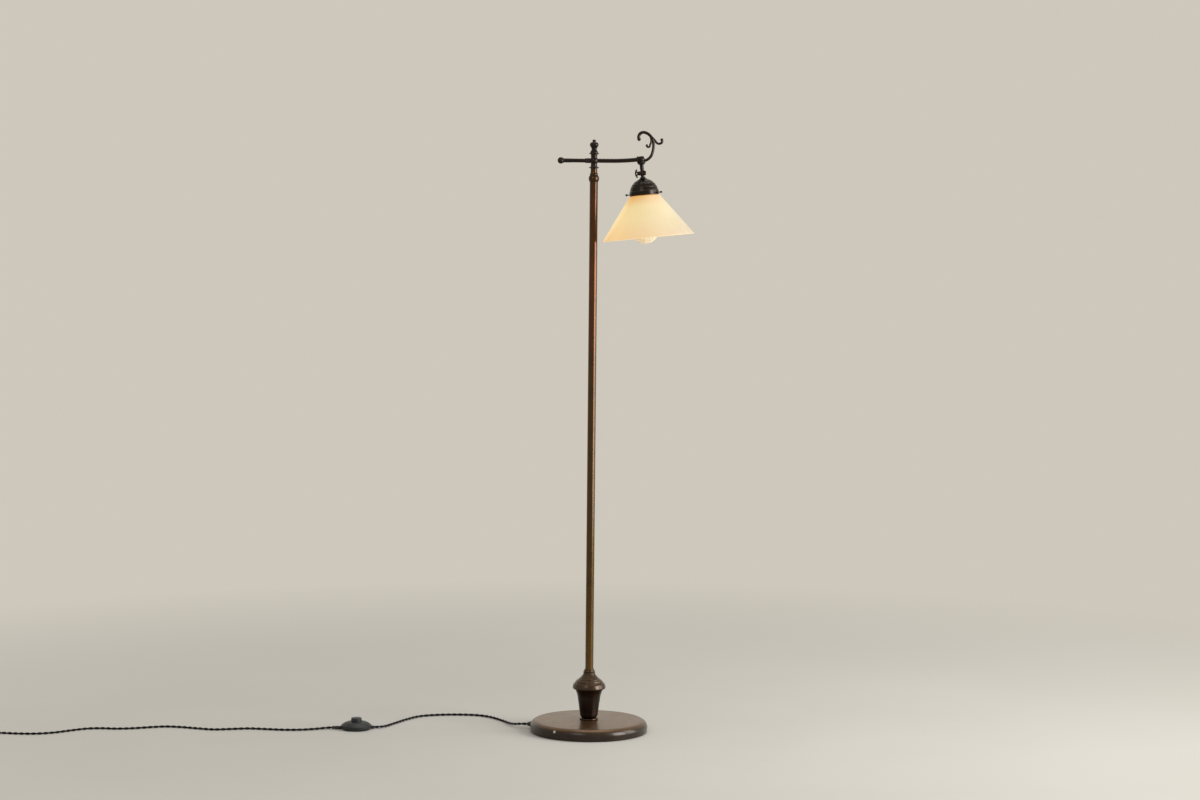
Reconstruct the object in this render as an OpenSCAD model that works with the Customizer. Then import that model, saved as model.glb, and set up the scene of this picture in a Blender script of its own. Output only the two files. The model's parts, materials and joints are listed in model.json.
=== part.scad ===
// Bridge floor lamp: a weighted round base, an urn, a tall tube and a sliding arm
// that hangs a glass shade from a tilting knuckle. All sizes are in millimetres.
// The origin is on the floor under the stem, and the arm points along +X.

/* [Base] */
// Diameter of the round base
base_d = 258; // [230:1:300]
// Height of the base at its centre, felt included
base_h = 26.5; // [25:0.5:34]
// Fall of the top from its centre seat to the shoulder
base_crown = 1; // [0.5:0.5:2]
// Radius of the rounded shoulder
base_shoulder_r = 14; // [10:1:16]
// Inward tuck of the cover's lower edge
base_tuck = 0.6; // [0.4:0.1:2]
// Wall of the spun base cover
shell_t = 1.2; // [0.8:0.1:2]
// Thickness of the felt under the base
felt_t = 2; // [1:0.5:3]
// How far the felt stops short of the cover's wall
felt_inset = 5; // [3:0.5:12]
// Thickness of the iron weight's rim
weight_t = 14; // [12:0.5:16]

/* [Threaded pipe] */
// Diameter of the threaded pipe that clamps the lower part together
pipe_d = 10.3; // [9.6:0.1:11]
// Bore of the threaded pipe
pipe_bore = 6.8; // [6.2:0.1:7.2]
// Width across the flats of the pipe's nut
pipe_nut_af = 16; // [14:0.5:18]
// Thickness of the pipe's nut
pipe_nut_t = 4; // [3:0.5:5]

/* [Urn] */
// Diameter of the copper ring under the urn
seat_ring_d = 41; // [34:1:44]
// Height of the copper ring
seat_ring_h = 3.7; // [3:0.1:6]
// Height of the urn body
urn_h = 64; // [56:1:80]
// Diameter of the urn at its foot
urn_foot_d = 28; // [26:1:32]
// Diameter of the urn above its rounded foot
urn_belly_d = 40; // [37:1:44]
// Diameter of the urn where its flare starts
urn_neck_d = 49.8; // [46:0.2:54]
// Diameter of the urn's flared lip
urn_lip_d = 63; // [57:1:64]
// Wall of the urn and of its cap
urn_t = 1.6; // [1.2:0.1:2.2]
// Diameter of the cap over the urn
cap_d = 72.6; // [70:0.2:80]
// Height of the cap
cap_h = 36.8; // [35:0.2:44]
// Diameter of the cap's neck
cap_neck_d = 26; // [25:0.5:30]

/* [Stem] */
// Outer diameter of the stem tube
tube_d = 17.8; // [16:0.2:20]
// Wall of the stem tube
tube_t = 1.2; // [0.8:0.1:1.8]
// Length of the stem tube
tube_l = 1074; // [900:1:1300]
// Length of the threaded inserts in the tube's ends
insert_l = 18; // [14:1:26]
// Diameter of the grooved ring round the foot of the tube
check_ring_d = 25.4; // [22.6:0.2:28]
// Height of the grooved ring
check_ring_h = 7.5; // [6:0.5:10]
// Diameter of the bead at the top of the tube
bead_d = 23; // [21:0.5:27]
// Height of the beaded collar
collar_h = 28; // [26:0.5:34]
// Diameter of the collar's neck
collar_neck_d = 14.4; // [13.6:0.2:16]

/* [Crosspiece] */
// Diameter of the ball that the arm passes through
cross_ball_d = 18.6; // [17:0.2:22]
// Diameter of the two thin discs
cross_disc_d = 22; // [20:0.5:25]
// Height from the crosspiece's foot to the arm's axis
cross_low_h = 17.7; // [17:0.1:22]
// Height from the arm's axis to the crosspiece's top
cross_high_h = 17.2; // [16:0.1:21]
// Reach of the small boss on the arm's back side
cross_boss_l = 19; // [16:0.5:24]
// Height of the finial above the crosspiece
finial_h = 28.3; // [24:0.1:36]
// Diameter of the finial's urn
finial_d = 19.4; // [17:0.2:22]
// Diameter of the finial's clamp shank
finial_shank_d = 6; // [5:0.2:6.4]

/* [Arm] */
// Outer diameter of the arm tube
arm_d = 9.1; // [8.6:0.1:9.6]
// Wall of the arm tube
arm_t = 1; // [0.8:0.1:1.2]
// Length of the arm behind the stem, to the end ball's centre
arm_back = 72; // [66:1:90]
// Diameter of the ball on the arm's back end
arm_ball_d = 14.5; // [13:0.5:18]
// Distance from the stem to where the arm starts to rise
arm_bend_start = 35; // [32:1:45]
// Distance from the stem to the hanging head
head_reach = 102; // [102:1:130]
// Angle by which the arm's end rises and the head leans
arm_rise = 6; // [3:0.5:8]
// How far the arm slides in towards the stem
slide_in = 8; // [4:0.5:8]
// Depth of the flat that the finial's shank runs on
arm_flat = 0.3; // [0.2:0.1:0.6]
// Width of the slot under the arm that the cord comes up through
arm_slot_w = 3.8; // [3.6:0.1:5]

/* [Scroll] */
// Thickness of the scroll's bar at its root
scroll_root_d = 6.3; // [5.6:0.1:7.4]
// Thickness of the scroll's bar at the crook's tip
scroll_crook_d = 7.2; // [5:0.1:7.6]
// Thickness of the two thin curls
scroll_thin_d = 4.8; // [3.6:0.1:5]
// Diameter of the ball that ends the crook
scroll_ball_d = 7.8; // [6.4:0.2:8.4]

/* [Knuckle] */
// Diameter of the hub that the arm, stem and scroll meet in
hub_d = 16.4; // [15.4:0.2:20]
// Drop from the arm's end to the tilting pivot
pivot_drop = 30.1; // [29:0.1:38]
// Diameter of the hanging stem
hang_d = 8.8; // [8.2:0.1:10]
// Diameter of the two knuckle lugs
lug_d = 12.4; // [11:0.2:13]
// Thickness of each knuckle lug
lug_t = 3.8; // [3:0.1:5]
// Diameter of the pivot screw's shank
pivot_d = 4; // [3.5:0.1:5]
// Diameter of the pivot screw's head
pivot_head_d = 10.8; // [9:0.2:12]
// Turn of the wing nut's handle from upright
wing_turn = 20; // [0:5:45]

/* [Shade holder] */
// Distance from the pivot to the top of the dome
dome_drop = 13.6; // [13.4:0.1:18]
// Height of the dome above its straight band
dome_h = 24.4; // [20:0.2:30]
// Height of the straight band
band_h = 10.2; // [9.8:0.2:14]
// Outer diameter of the straight band
band_d = 64; // [63:0.2:68]
// Wall of the spun shade holder
holder_t = 1; // [0.8:0.1:1.2]
// Diameter of the small ring on top of the dome
dome_ring_d = 18; // [17:0.5:22]
// Diameter of the three thumbscrews' shanks
thumb_d = 2.2; // [2:0.1:3]
// Diameter of the three thumbscrews' knobs
thumb_knob_d = 4.6; // [4.2:0.2:6]
// Distance from the shade's axis to the middle of each knob
thumb_reach = 43.3; // [41:0.1:48]
// Direction of the first thumbscrew
thumb_angle = 86; // [80:1:92]
// How far each thumbscrew backs out to free the shade
thumb_travel = 4; // [2.5:0.5:5]

/* [Shade] */
// Diameter of the shade at its lower rim
shade_d = 199.2; // [190:0.2:201]
// Height of the shade below its shoulder
shade_h = 91; // [80:1:100]
// Diameter of the shade's shoulder under the holder
shade_shoulder_d = 67.8; // [66:0.2:72]
// Diameter of the shade's fitter neck
fitter_d = 53.6; // [52:0.2:54]
// Diameter of the lip on the fitter neck
fitter_lip_d = 57.2; // [56:0.2:58]
// Wall of the glass
glass_t = 3; // [2.4:0.1:3.6]

/* [Lampholder and bulb] */
// Outer diameter of the lampholder's shell
socket_d = 35; // [34:0.5:37]
// Diameter of the bulb's globe
bulb_d = 60; // [56:1:64]
// Length of the bulb with its screw cap
bulb_l = 108; // [104:1:112]
// Diameter of the bulb's screw cap
bulb_cap_d = 26.4; // [26:0.1:26.8]
// Wall of the bulb's glass
bulb_t = 0.8; // [0.6:0.1:1.2]
// Lean of the lampholder and bulb from the shade's axis
bulb_lean = 3; // [0:0.5:3]

/* [Cord and switch] */
// Overall diameter of the cloth-covered cord
cord_d = 5.6; // [5:0.1:6]
// Diameter of the cord's bushing flange
bushing_d = 13; // [12:0.5:14]
// Length of the bushing's tapered nose
bushing_nose_l = 6; // [5:1:20]
// Diameter of the foot switch
switch_d = 67; // [60:1:74]
// Height of the foot switch without its button
switch_h = 17.6; // [16:0.2:22]
// Diameter of the foot switch's button
button_d = 23; // [20:0.5:26]
// Height of the button above the switch
button_h = 8; // [6:0.5:10]
// Travel of the button
button_travel = 3; // [2:0.5:4]
// Length of the sleeves on the switch's cord
sleeve_l = 20; // [20:1:30]
// Number of turns in the coiled length of cord
coil_turns = 5.25; // [4.25:1:7.25]
// Step from one turn of the coil to the next
coil_step = 6.3; // [6.2:0.1:7]
// Width of the plug's body
plug_w = 24; // [20:1:28]
// Length of the plug's body
plug_l = 26; // [22:1:32]
// Height of the plug's body
plug_h = 13; // [11:0.5:16]

/* [Hidden] */
$fn = 96;

// Clearances
run_gap = 0.05;
seat_gap = 0.1;
free_gap = 0.3;
wire_gap = 0.4;

// Heights of the stack, from the floor up
base_r = base_d / 2;
urn_z = base_h + seat_ring_h;
cap_z = urn_z + urn_h;
check_z = cap_z + cap_h;
check_floor = 2;
tube_z = check_z + check_floor;
tube_top = tube_z + tube_l;
collar_lap = 3;
collar_z = tube_top - collar_lap;
collar_top = collar_z + collar_h;
swivel_washer_t = 0.8;
cross_z = collar_top + swivel_washer_t + seat_gap;
arm_z = cross_z + cross_low_h;
cross_top = arm_z + cross_high_h;

// Shared radii
pipe_r = pipe_d / 2;
pipe_hole_r = pipe_r + run_gap;
tube_r = tube_d / 2;
arm_r = arm_d / 2;
arm_bore_r = arm_r + run_gap;
finial_shank_r = finial_shank_d / 2;
pivot_r = pivot_d / 2;
cord_r = cord_d / 2;

// Base: the pipe's nut sits in a pocket under the weight's boss
cover_gap = 1.5;
base_seat_r = 24;
boss_r = 20;
nut_pocket_r = 17;
boss_top_t = 4.5;
nut_pocket_top = base_h - shell_t - boss_top_t;
washer_t = 1.4;
pipe_low = nut_pocket_top - washer_t - pipe_nut_t - 0.4;
pipe_high = tube_z + insert_l - 1;
exit_angle = 170;
exit_z = 10;
bushing_barrel_r = 4.9;
bushing_flange_t = 2.4;
bushing_in = base_r - 9;
bushing_face = base_r + seat_gap;
bushing_end = bushing_face + bushing_flange_t + bushing_nose_l;
stem_cord_r = 2.5;
channel_w = 2 * stem_cord_r + 3;
channel_top = 9.5;
channel_cord_z = felt_t + stem_cord_r + 1;

// Arm: straight, then one long bend up to the hub
hub_sleeve_l = 9.3;
arm_bend_end = head_reach - hub_sleeve_l;
arm_bend_r = (arm_bend_end - arm_bend_start) / sin(arm_rise);
arm_climb = arm_bend_r * (1 - cos(arm_rise));
head_z = arm_z + arm_climb + hub_sleeve_l * tan(arm_rise);
arm_tail_turn = (hub_sleeve_l - 2.5) / arm_bend_r * 180 / PI;
arm_tube_back = arm_back - arm_ball_d / 2 + 1;
slide_out = arm_tube_back - cross_boss_l - free_gap;
cross_boss_r = arm_r + 0.9;

// Swivel post: a pin with a groove that the grub screw runs in
post_low = tube_top - insert_l;
post_top = arm_z - arm_r - 2.6;
post_groove_z = cross_z + 5.2;
post_groove_h = 3.6;
grub_d = 3;

// Knuckle and head, in distances below the arm's end along the head's axis
dome_top = pivot_drop + dome_drop;
band_top = dome_top + dome_h;
band_low = band_top + band_h;
hub_r = hub_d / 2;
hub_low = 11.8;
lug_r = lug_d / 2;
lug_gap = 0.1;
thumb_r = thumb_d / 2;
thumb_drop = band_low - 3.4;
fitter_lip_h = 3.4;
fitter_lip_low = thumb_drop - thumb_r - 0.2;
shoulder_drop = band_low + 0.4;
rim_drop = shoulder_drop + shade_h + 1;
nipple_r = 3.6;
nipple_bore_r = 2.2;
nipple_low = dome_top + 11;
nipple_top = pivot_drop + lug_r + 1.8;
wire_bore_r = 2.6;
wire_bore_l = 22;
knuckle_foot_r = 5.4;
pivot_tail_l = 7.5;
dome_nut_t = 3;
dome_nut_af = 13;
lean_drop = dome_top + 6.5;
socket_top = dome_top + holder_t + dome_nut_t + 0.8;
socket_cap_h = 11;
socket_r = socket_d / 2;
socket_shell_top = socket_top + socket_cap_h;
socket_shell_l = 38;
screw_seat = socket_shell_top + 13.5;
bulb_tip = screw_seat + 3 + bulb_l;

// Cord routes on the floor, chosen by hand
lead_route = [
  [-152, 27, 9.5], [-166, 42, 6.5], [-178, 68, 3.6], [-195, 102, 2.8],
  [-221, 139, 2.8], [-252, 160, 2.8], [-298, 165, 2.8], [-343, 159, 2.8],
  [-382, 140, 2.8], [-408, 102, 2.8], [-427, 64, 2.8], [-437, 43, 2.8],
  [-444, 27, 3], [-452, 13, 3.5], [-462, 3, 4.2]
];
tail_route = [
  [-581, -12, 3.4], [-600, -20, 2.8], [-632, -31, 2.8], [-668, -33, 2.8],
  [-706, -27, 2.8], [-744, -22, 2.8], [-782, -30, 2.8], [-819, -37, 2.8],
  [-858, -26, 2.8], [-892, -14, 2.8], [-927, -9, 2.8], [-958, -17, 2.8],
  [-992, -31, 2.8], [-1030, -39, 2.8], [-1064, -36, 2.8], [-1096, -42, 2.8],
  [-1126, -64, 2.8], [-1158, -90, 2.8], [-1194, -104, 2.8], [-1234, -104, 2.8],
  [-1273, -98, 2.8], [-1312, -96, 3]
];
ring_step = 16;
cord_sides = 8;
switch_x = -511;
switch_y = -5;
switch_cord_z = 4.4;
switch_r = switch_d / 2;
button_r = button_d / 2;
lead_in_angle = 6;
lead_sleeve_l = 6;
tail_out_angle = 186;
coil_x = -1345;
coil_y = -56;
coil_z = cord_r + 1;
coil_out_r = 40;
coil_rings = 24;
coil_sides = 6;
coil_mid_t = coil_turns / 2;
coil_climb_t = 0.5;
plug_lead = 30;
plug_sleeve_l = 20;
plug_z = plug_h / 2;
blade_w = 6.3;
blade_t = 1.5;
blade_l = 17;
blade_pitch = 12.7;

// Colours
bronze = [0.16, 0.12, 0.09];
dark_bronze = [0.10, 0.08, 0.06];
copper = [0.55, 0.32, 0.20];
brass = [0.62, 0.50, 0.28];
steel = [0.60, 0.60, 0.62];
iron = [0.20, 0.20, 0.21];
black = [0.05, 0.05, 0.05];
opal = [0.97, 0.90, 0.72];

// ---- General functions ----

// Points of a round arc
function arc(cx, cz, r, a0, a1, n) =
  [for (i = [0:n]) let (a = a0 + (a1 - a0) * i / n) [cx + r * cos(a), cz + r * sin(a)]];

// Points of an elliptical arc
function oval(cx, cz, rx, rz, a0, a1, n) =
  [for (i = [0:n]) let (a = a0 + (a1 - a0) * i / n) [cx + rx * cos(a), cz + rz * sin(a)]];

// Points of a half-round bead of height h that reaches radius r
function bead(r, z, h, n = 8) = oval(r - h / 2, z + h / 2, h / 2, h / 2, -90, 90, n);

// Points of a smooth S from one radius and height to another
function sway(r0, z0, r1, z1, n) =
  [for (i = [0:n]) [r0 + (r1 - r0) * (1 - cos(180 * i / n)) / 2, z0 + (z1 - z0) * i / n]];

// The same points at another height, turned upside down
function hung(points) = [for (p = points) [p[0], -p[1]]];

function unit(v) = v / norm(v);

// A point on a smooth curve through the route's points
function spline_at(p, i, t) =
  let (
    a = p[max(i - 1, 0)],
    b = p[i],
    c = p[i + 1],
    d = p[min(i + 2, len(p) - 1)]
  )
  0.5 * (2 * b + (c - a) * t + (2 * a - 5 * b + 4 * c - d) * t * t
    + (3 * b - a - 3 * c + d) * t * t * t);

// The route with a ring about every step along it
function smooth_route(p, step) = concat(
  [for (i = [0:len(p) - 2])
    let (n = max(1, round(norm(p[i + 1] - p[i]) / step)))
    for (k = [0:n - 1]) spline_at(p, i, k / n)],
  [p[len(p) - 1]]
);

// Direction of the route at one of its points
function heading(p, i) = unit(p[min(i + 1, len(p) - 1)] - p[max(i - 1, 0)]);

function route_length(p) = len(p) < 2 ? 0 : [for (i = 0, s = 0; i < len(p);
  s = s + (i + 1 < len(p) ? norm(p[i + 1] - p[i]) : 0), i = i + 1) s][len(p) - 1];

// A closed tube along a route: one ring of points at each route point
module tube(p, radii, sides, up) {
  n = len(p);
  points = [for (i = [0:n - 1])
    let (
      t = heading(p, i),
      side = unit(cross(t, up)),
      rise = cross(side, t)
    )
    for (k = [0:sides - 1])
      let (a = 360 * (k + 0.5) / sides)
      p[i] + radii[i] * (cos(a) * side + sin(a) * rise)];
  walls = [for (i = [0:n - 2]) for (k = [0:sides - 1])
    let (
      a = i * sides + k,
      b = i * sides + (k + 1) % sides,
      c = a + sides,
      d = b + sides
    )
    for (f = [[a, b, c], [b, d, c]]) f];
  last = (n - 1) * sides;
  ends = [for (k = [1:sides - 2]) for (f = [[0, k + 1, k], [last, last + k, last + k + 1]]) f];
  polyhedron(points, concat(walls, ends), convexity = 10);
}

// A tube of one radius
module even_tube(p, r, sides, up) {
  tube(p, [for (q = p) r], sides, up);
}

// Points of a flat path in XZ made of arcs, each given as [length, turn]
function arc_path(start, angle, pieces, step, i = 0) =
  i == len(pieces) ? [start] :
  let (
    l = pieces[i][0],
    turn = pieces[i][1],
    n = ceil(l / step),
    pts = [for (k = [0:n]) arc_point(start, angle, l * k / n, turn * k / n)]
  )
  concat([for (k = [0:n - 1]) pts[k]], arc_path(pts[n], angle + turn, pieces, step, i + 1));

// The end of one arc that starts at a point and turns by an angle
function arc_point(start, angle, l, turn) =
  let (
    chord = abs(turn) < 0.01 ? l : 2 * (l / (turn * PI / 180)) * sin(turn / 2),
    a = angle + turn / 2
  )
  start + chord * [cos(a), 0, sin(a)];

// Places its children in the frame of the hanging head, with +Z along its axis
module at_head() {
  translate([head_reach, 0, head_z])
    rotate([0, -arm_rise, 0])
      children();
}

// Places its children in the frame of the leaning lampholder
module at_lampholder() {
  at_head()
    translate([0, 0, -lean_drop])
      rotate([0, bulb_lean, 0])
        translate([0, 0, lean_drop])
          children();
}

// Places its children at the base's cord exit, with +Z pointing out
module at_exit() {
  rotate([0, 0, exit_angle])
    translate([0, 0, exit_z])
      rotate([0, 90, 0])
        children();
}

module at_switch() {
  translate([switch_x, switch_y, 0])
    children();
}

module ring(r_out, r_in, h) {
  difference() {
    cylinder(r = r_out, h = h);
    translate([0, 0, -1])
      cylinder(r = r_in, h = h + 2);
  }
}

module hex_nut(af, h, hole_r) {
  difference() {
    cylinder(d = af / cos(30), h = h, $fn = 6);
    translate([0, 0, -1])
      cylinder(r = hole_r, h = h + 2);
  }
}

// ---- Base ----

shoulder_z = base_h - base_crown - base_shoulder_r;
shoulder_x = base_r - base_shoulder_r;

// Outline of the cover's outer side, or of its inner side when t is the wall
function cover_outline(t) = concat(
  [[base_r - base_tuck - t, cover_gap]],
  [[base_r - t, shoulder_z]],
  arc(shoulder_x, shoulder_z, base_shoulder_r - t, 0, 90, 24),
  [[base_seat_r, base_h - t], [0, base_h - t]]
);

module base_felt() {
  color(black)
    cylinder(r = base_r - base_tuck - shell_t - felt_inset, h = felt_t);
}

module base_weight() {
  rim_r = base_r - base_tuck - shell_t - 0.5;
  color(iron)
    difference() {
      union() {
        translate([0, 0, felt_t])
          cylinder(r = rim_r, h = weight_t - 4);
        translate([0, 0, felt_t + weight_t - 4])
          cylinder(r1 = rim_r, r2 = rim_r - 10, h = 4);
        translate([0, 0, felt_t])
          cylinder(r = boss_r, h = base_h - shell_t - felt_t);
      }
      translate([0, 0, felt_t - 1])
        cylinder(r = nut_pocket_r, h = nut_pocket_top - felt_t + 1);
      cylinder(r = pipe_hole_r, h = base_h);
      rotate([0, 0, exit_angle])
        translate([0, -channel_w / 2, felt_t - 1])
          cube([rim_r + 2, channel_w, channel_top - felt_t + 1]);
      rotate([0, 0, exit_angle])
        translate([bushing_in - 22, -bushing_barrel_r - 1.5, felt_t - 1])
          cube([rim_r, 2 * bushing_barrel_r + 3, base_h]);
    }
}

module base_cover() {
  color(bronze)
    difference() {
      rotate_extrude()
        difference() {
          polygon(concat([[0, cover_gap]], cover_outline(0)));
          polygon(concat([[0, cover_gap - 1], [base_r - base_tuck - shell_t, cover_gap - 1]],
            cover_outline(shell_t)));
        }
      cylinder(r = pipe_hole_r, h = base_h + 1);
      at_exit()
        translate([0, 0, base_r - 20])
          cylinder(r = bushing_barrel_r + run_gap, h = 30);
    }
}

module base_washer() {
  color(steel)
    translate([0, 0, nut_pocket_top - washer_t])
      ring(pipe_nut_af / 2 + 3, pipe_hole_r, washer_t);
}

module base_nut() {
  color(steel)
    translate([0, 0, nut_pocket_top - washer_t - pipe_nut_t])
      hex_nut(pipe_nut_af, pipe_nut_t, pipe_hole_r);
}

module threaded_pipe() {
  color(steel)
    translate([0, 0, pipe_low])
      ring(pipe_r, pipe_bore / 2, pipe_high - pipe_low);
}

module cord_bushing() {
  nose_r = cord_r + 1.2;
  color(black)
    at_exit()
      rotate_extrude()
        polygon([
          [cord_r + 0.1, bushing_in],
          [bushing_barrel_r, bushing_in],
          [bushing_barrel_r, bushing_face],
          [bushing_d / 2 - 0.6, bushing_face],
          [bushing_d / 2, bushing_face + 0.6],
          [bushing_d / 2, bushing_face + bushing_flange_t - 0.8],
          [bushing_d / 2 - 0.8, bushing_face + bushing_flange_t],
          [bushing_barrel_r, bushing_face + bushing_flange_t],
          [nose_r, bushing_end],
          [cord_r + 0.1, bushing_end]
        ]);
}

// ---- Urn ----

module seat_ring() {
  color(copper)
    translate([0, 0, base_h])
      rotate_extrude()
        polygon(concat(
          [[pipe_hole_r, 0]],
          bead(seat_ring_d / 2, 0, seat_ring_h),
          [[pipe_hole_r, seat_ring_h]]
        ));
}

urn_foot_h = 11;
urn_flare_h = 18;
urn_slope = (urn_neck_d - urn_belly_d) / 2 / (urn_h - urn_foot_h - urn_flare_h);
urn_flare = (urn_lip_d - urn_neck_d) / 2 - urn_slope * urn_flare_h;

// Outline of the urn's outer side, from the foot up, moved in by the wall
function urn_outline(t) = concat(
  [for (i = [0:8]) let (a = 90 * i / 8)
    [urn_foot_d / 2 - t + (urn_belly_d - urn_foot_d) / 2 * sin(a), urn_foot_h * (1 - cos(a))]],
  [for (i = [0:10]) let (u = i / 10)
    [urn_neck_d / 2 - t + urn_slope * urn_flare_h * u + urn_flare * u * u, urn_h - urn_flare_h * (1 - u)]]
);

module urn_body() {
  color(dark_bronze)
    translate([0, 0, urn_z])
      difference() {
        rotate_extrude()
          difference() {
            polygon(concat([[0, 0]], urn_outline(0), [[0, urn_h]]));
            intersection() {
              polygon(concat([[0, 0]], urn_outline(urn_t), [[0, urn_h + 1]]));
              translate([0, 2 * urn_t])
                square([base_r, urn_h]);
            }
            translate([0, urn_h - 0.01])
              square([urn_lip_d / 2 - urn_t, 1]);
          }
        translate([0, 0, -1])
          cylinder(r = pipe_hole_r, h = urn_h);
      }
}

cap_lip_h = 3.4;
cap_lip_w = 3.2;
cap_roll_top = 15;
cap_roll_r = 31;
cap_step_top = 20.6;
cap_step_r = 23.8;
cap_ring_h = 1.8;
cap_neck_h = 3.6;

// Outline of the cap's outer side, moved in by the wall: lip, roll, ring, step, ring,
// hollow curve and neck
function cap_outline(t) =
  let (
    lip_r = cap_d / 2 - t,
    roll_r = cap_roll_r - t,
    step_r = cap_step_r - t,
    neck_r = cap_neck_d / 2 - t,
    hollow_low = cap_step_top + cap_ring_h - t,
    hollow_h = cap_h - cap_neck_h - hollow_low
  )
  concat(
    oval(lip_r - cap_lip_w, cap_lip_h, cap_lip_w, cap_lip_h, -90, 0, 6),
    [for (i = [0:8]) let (a = 12 + 70 * i / 8)
      [roll_r - 3 + (lip_r - roll_r + 2.8) * cos(a),
        cap_lip_h + 0.4 + (cap_roll_top - t / 2 - cap_lip_h - 0.4) * sin(a)]],
    oval(roll_r - 1.6, cap_roll_top - t + cap_ring_h / 2, 1, cap_ring_h / 2, -70, 70, 6),
    [for (i = [0:5]) let (a = 90 * i / 5)
      [step_r - 0.6 + (roll_r - 1.8 - step_r) * cos(a),
        cap_roll_top + cap_ring_h - t + (cap_step_top - cap_roll_top - cap_ring_h) * sin(a)]],
    oval(step_r - 0.8, cap_step_top - t + cap_ring_h / 2, 1, cap_ring_h / 2, -70, 70, 6),
    [for (i = [0:7]) let (u = i / 8)
      [neck_r + (step_r - 1.4 - neck_r) * pow(1 - u, 1.2), hollow_low + hollow_h * u]],
    [[neck_r, hollow_low + hollow_h]],
    [[neck_r, cap_h - t]]
  );

module urn_cap() {
  color(bronze)
    translate([0, 0, cap_z])
      difference() {
        rotate_extrude()
          difference() {
            polygon(concat([[0, 0]], cap_outline(0), [[0, cap_h]]));
            intersection() {
              polygon(concat([[0, 0]], cap_outline(urn_t), [[0, cap_h - urn_t]]));
              translate([0, urn_t])
                square([base_r, cap_h]);
            }
            translate([-1, -1])
              square([urn_lip_d / 2 - 2 * urn_t + 1, urn_t + 1.01]);
          }
        cylinder(r = pipe_hole_r, h = cap_h + 1);
      }
}

// Wall of the check ring round the tube, under its upper bead
check_wall = 0.9;

module check_ring() {
  half = check_ring_h / 2;
  color(bronze)
    translate([0, 0, check_z])
      difference() {
        rotate_extrude()
          polygon(concat(
            [[0, 0]],
            bead(check_ring_d / 2, 0, half, 8),
            oval(tube_r + check_wall, 1.5 * half, 0.9, half / 2, -90, 90, 8),
            [[0, check_ring_h]]
          ));
        translate([0, 0, check_floor])
          cylinder(r = tube_r + run_gap, h = check_ring_h);
        translate([0, 0, -1])
          cylinder(r = pipe_hole_r, h = check_ring_h);
      }
}

// ---- Stem ----

module stem_tube() {
  color(copper)
    translate([0, 0, tube_z])
      ring(tube_r, tube_r - tube_t, tube_l);
}

module stem_insert(z) {
  color(brass)
    translate([0, 0, z])
      ring(tube_r - tube_t - run_gap, pipe_hole_r, insert_l);
}

module stem_insert_low() {
  stem_insert(tube_z);
}

module stem_insert_high() {
  stem_insert(tube_top - insert_l);
}

// Outline of the collar: main bead, small bead, hollow curve and neck
function collar_outline() =
  let (
    main_h = 14.4,
    small_h = 4.4,
    neck_l = 3,
    neck_r = collar_neck_d / 2,
    small_r = neck_r + 2,
    main_r = bead_d / 2,
    hollow_h = collar_h - main_h - small_h - neck_l
  )
  concat(
    [[0, 0], [tube_r + 0.3, 0]],
    oval(tube_r - 1.4, main_h * 0.54, main_r - tube_r + 1.4, main_h * 0.5, -58, 72, 14),
    oval(small_r - 1.4, main_h + small_h / 2, 1.4, small_h / 2, -70, 70, 8),
    [for (i = [1:6]) let (a = 90 * i / 6)
      [small_r - 0.8 - (small_r - 0.8 - neck_r) * sin(a),
        main_h + small_h + hollow_h * (1 - cos(a))]],
    [[neck_r, collar_h], [0, collar_h]]
  );

module stem_collar() {
  color(copper)
    translate([0, 0, collar_z])
      difference() {
        rotate_extrude()
          polygon(collar_outline());
        translate([0, 0, -1])
          cylinder(r = tube_r + run_gap, h = collar_lap + 1);
        cylinder(r = pipe_hole_r, h = collar_h + 1);
      }
}

module swivel_post() {
  color(steel)
    difference() {
      translate([0, 0, post_low])
        ring(pipe_r, pipe_bore / 2, post_top - post_low);
      translate([0, 0, post_groove_z - post_groove_h / 2])
        ring(pipe_r + 1, pipe_r - 0.7, post_groove_h);
    }
}

module swivel_washer() {
  color(dark_bronze)
    translate([0, 0, collar_top])
      ring(collar_neck_d / 2, pipe_hole_r, swivel_washer_t);
}

// The cord inside the base and stem: in through the bushing, under the weight and up the pipe
module stem_cord() {
  bend_r = pipe_low - channel_cord_z - 0.2;
  turn = [for (i = [0:6]) let (a = 90 * i / 6)
    [bend_r * (1 - sin(a)), 0, channel_cord_z + bend_r * (1 - cos(a))]];
  run = concat(
    [[bushing_end, 0, exit_z], [bushing_in - 2, 0, exit_z], [bushing_in - 8, 0, exit_z - 0.6],
      [bushing_in - 20, 0, channel_cord_z + 0.6], [bushing_in - 28, 0, channel_cord_z],
      [bend_r + 8, 0, channel_cord_z]],
    turn,
    [for (i = [1:4]) [0, 0, channel_cord_z + bend_r + (post_top + 1 - channel_cord_z - bend_r) * i / 4]]
  );
  color(black)
    rotate([0, 0, exit_angle])
      even_tube(run, stem_cord_r, cord_sides, [0, 1, 0]);
}

// ---- Foot switch ----

switch_foot_r = switch_r - 4;
switch_split = 8;
switch_wall = 1.8;
switch_pocket_top = switch_h - switch_wall;
button_flange_r = button_r + 2.5;
block_r = 14;
block_h = 4;
sleeve_r = cord_r + 0.7;
sleeve_in = 10;
screw_reach = switch_foot_r - 7;
screw_r = 1.2;
screw_head_r = 1.6;
button_low = switch_pocket_top - 3.4;

// Places its children on the lead side or the tail side of the switch, with +X pointing out
module on_lead_side() {
  rotate([0, 0, lead_in_angle])
    children();
}

module on_tail_side() {
  rotate([0, 0, tail_out_angle])
    children();
}

module cord_holes(r) {
  for (a = [lead_in_angle, tail_out_angle])
    rotate([0, 0, a])
      translate([switch_r - 14, 0, switch_cord_z])
        rotate([0, 90, 0])
          cylinder(r = r, h = 20);
}

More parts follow.
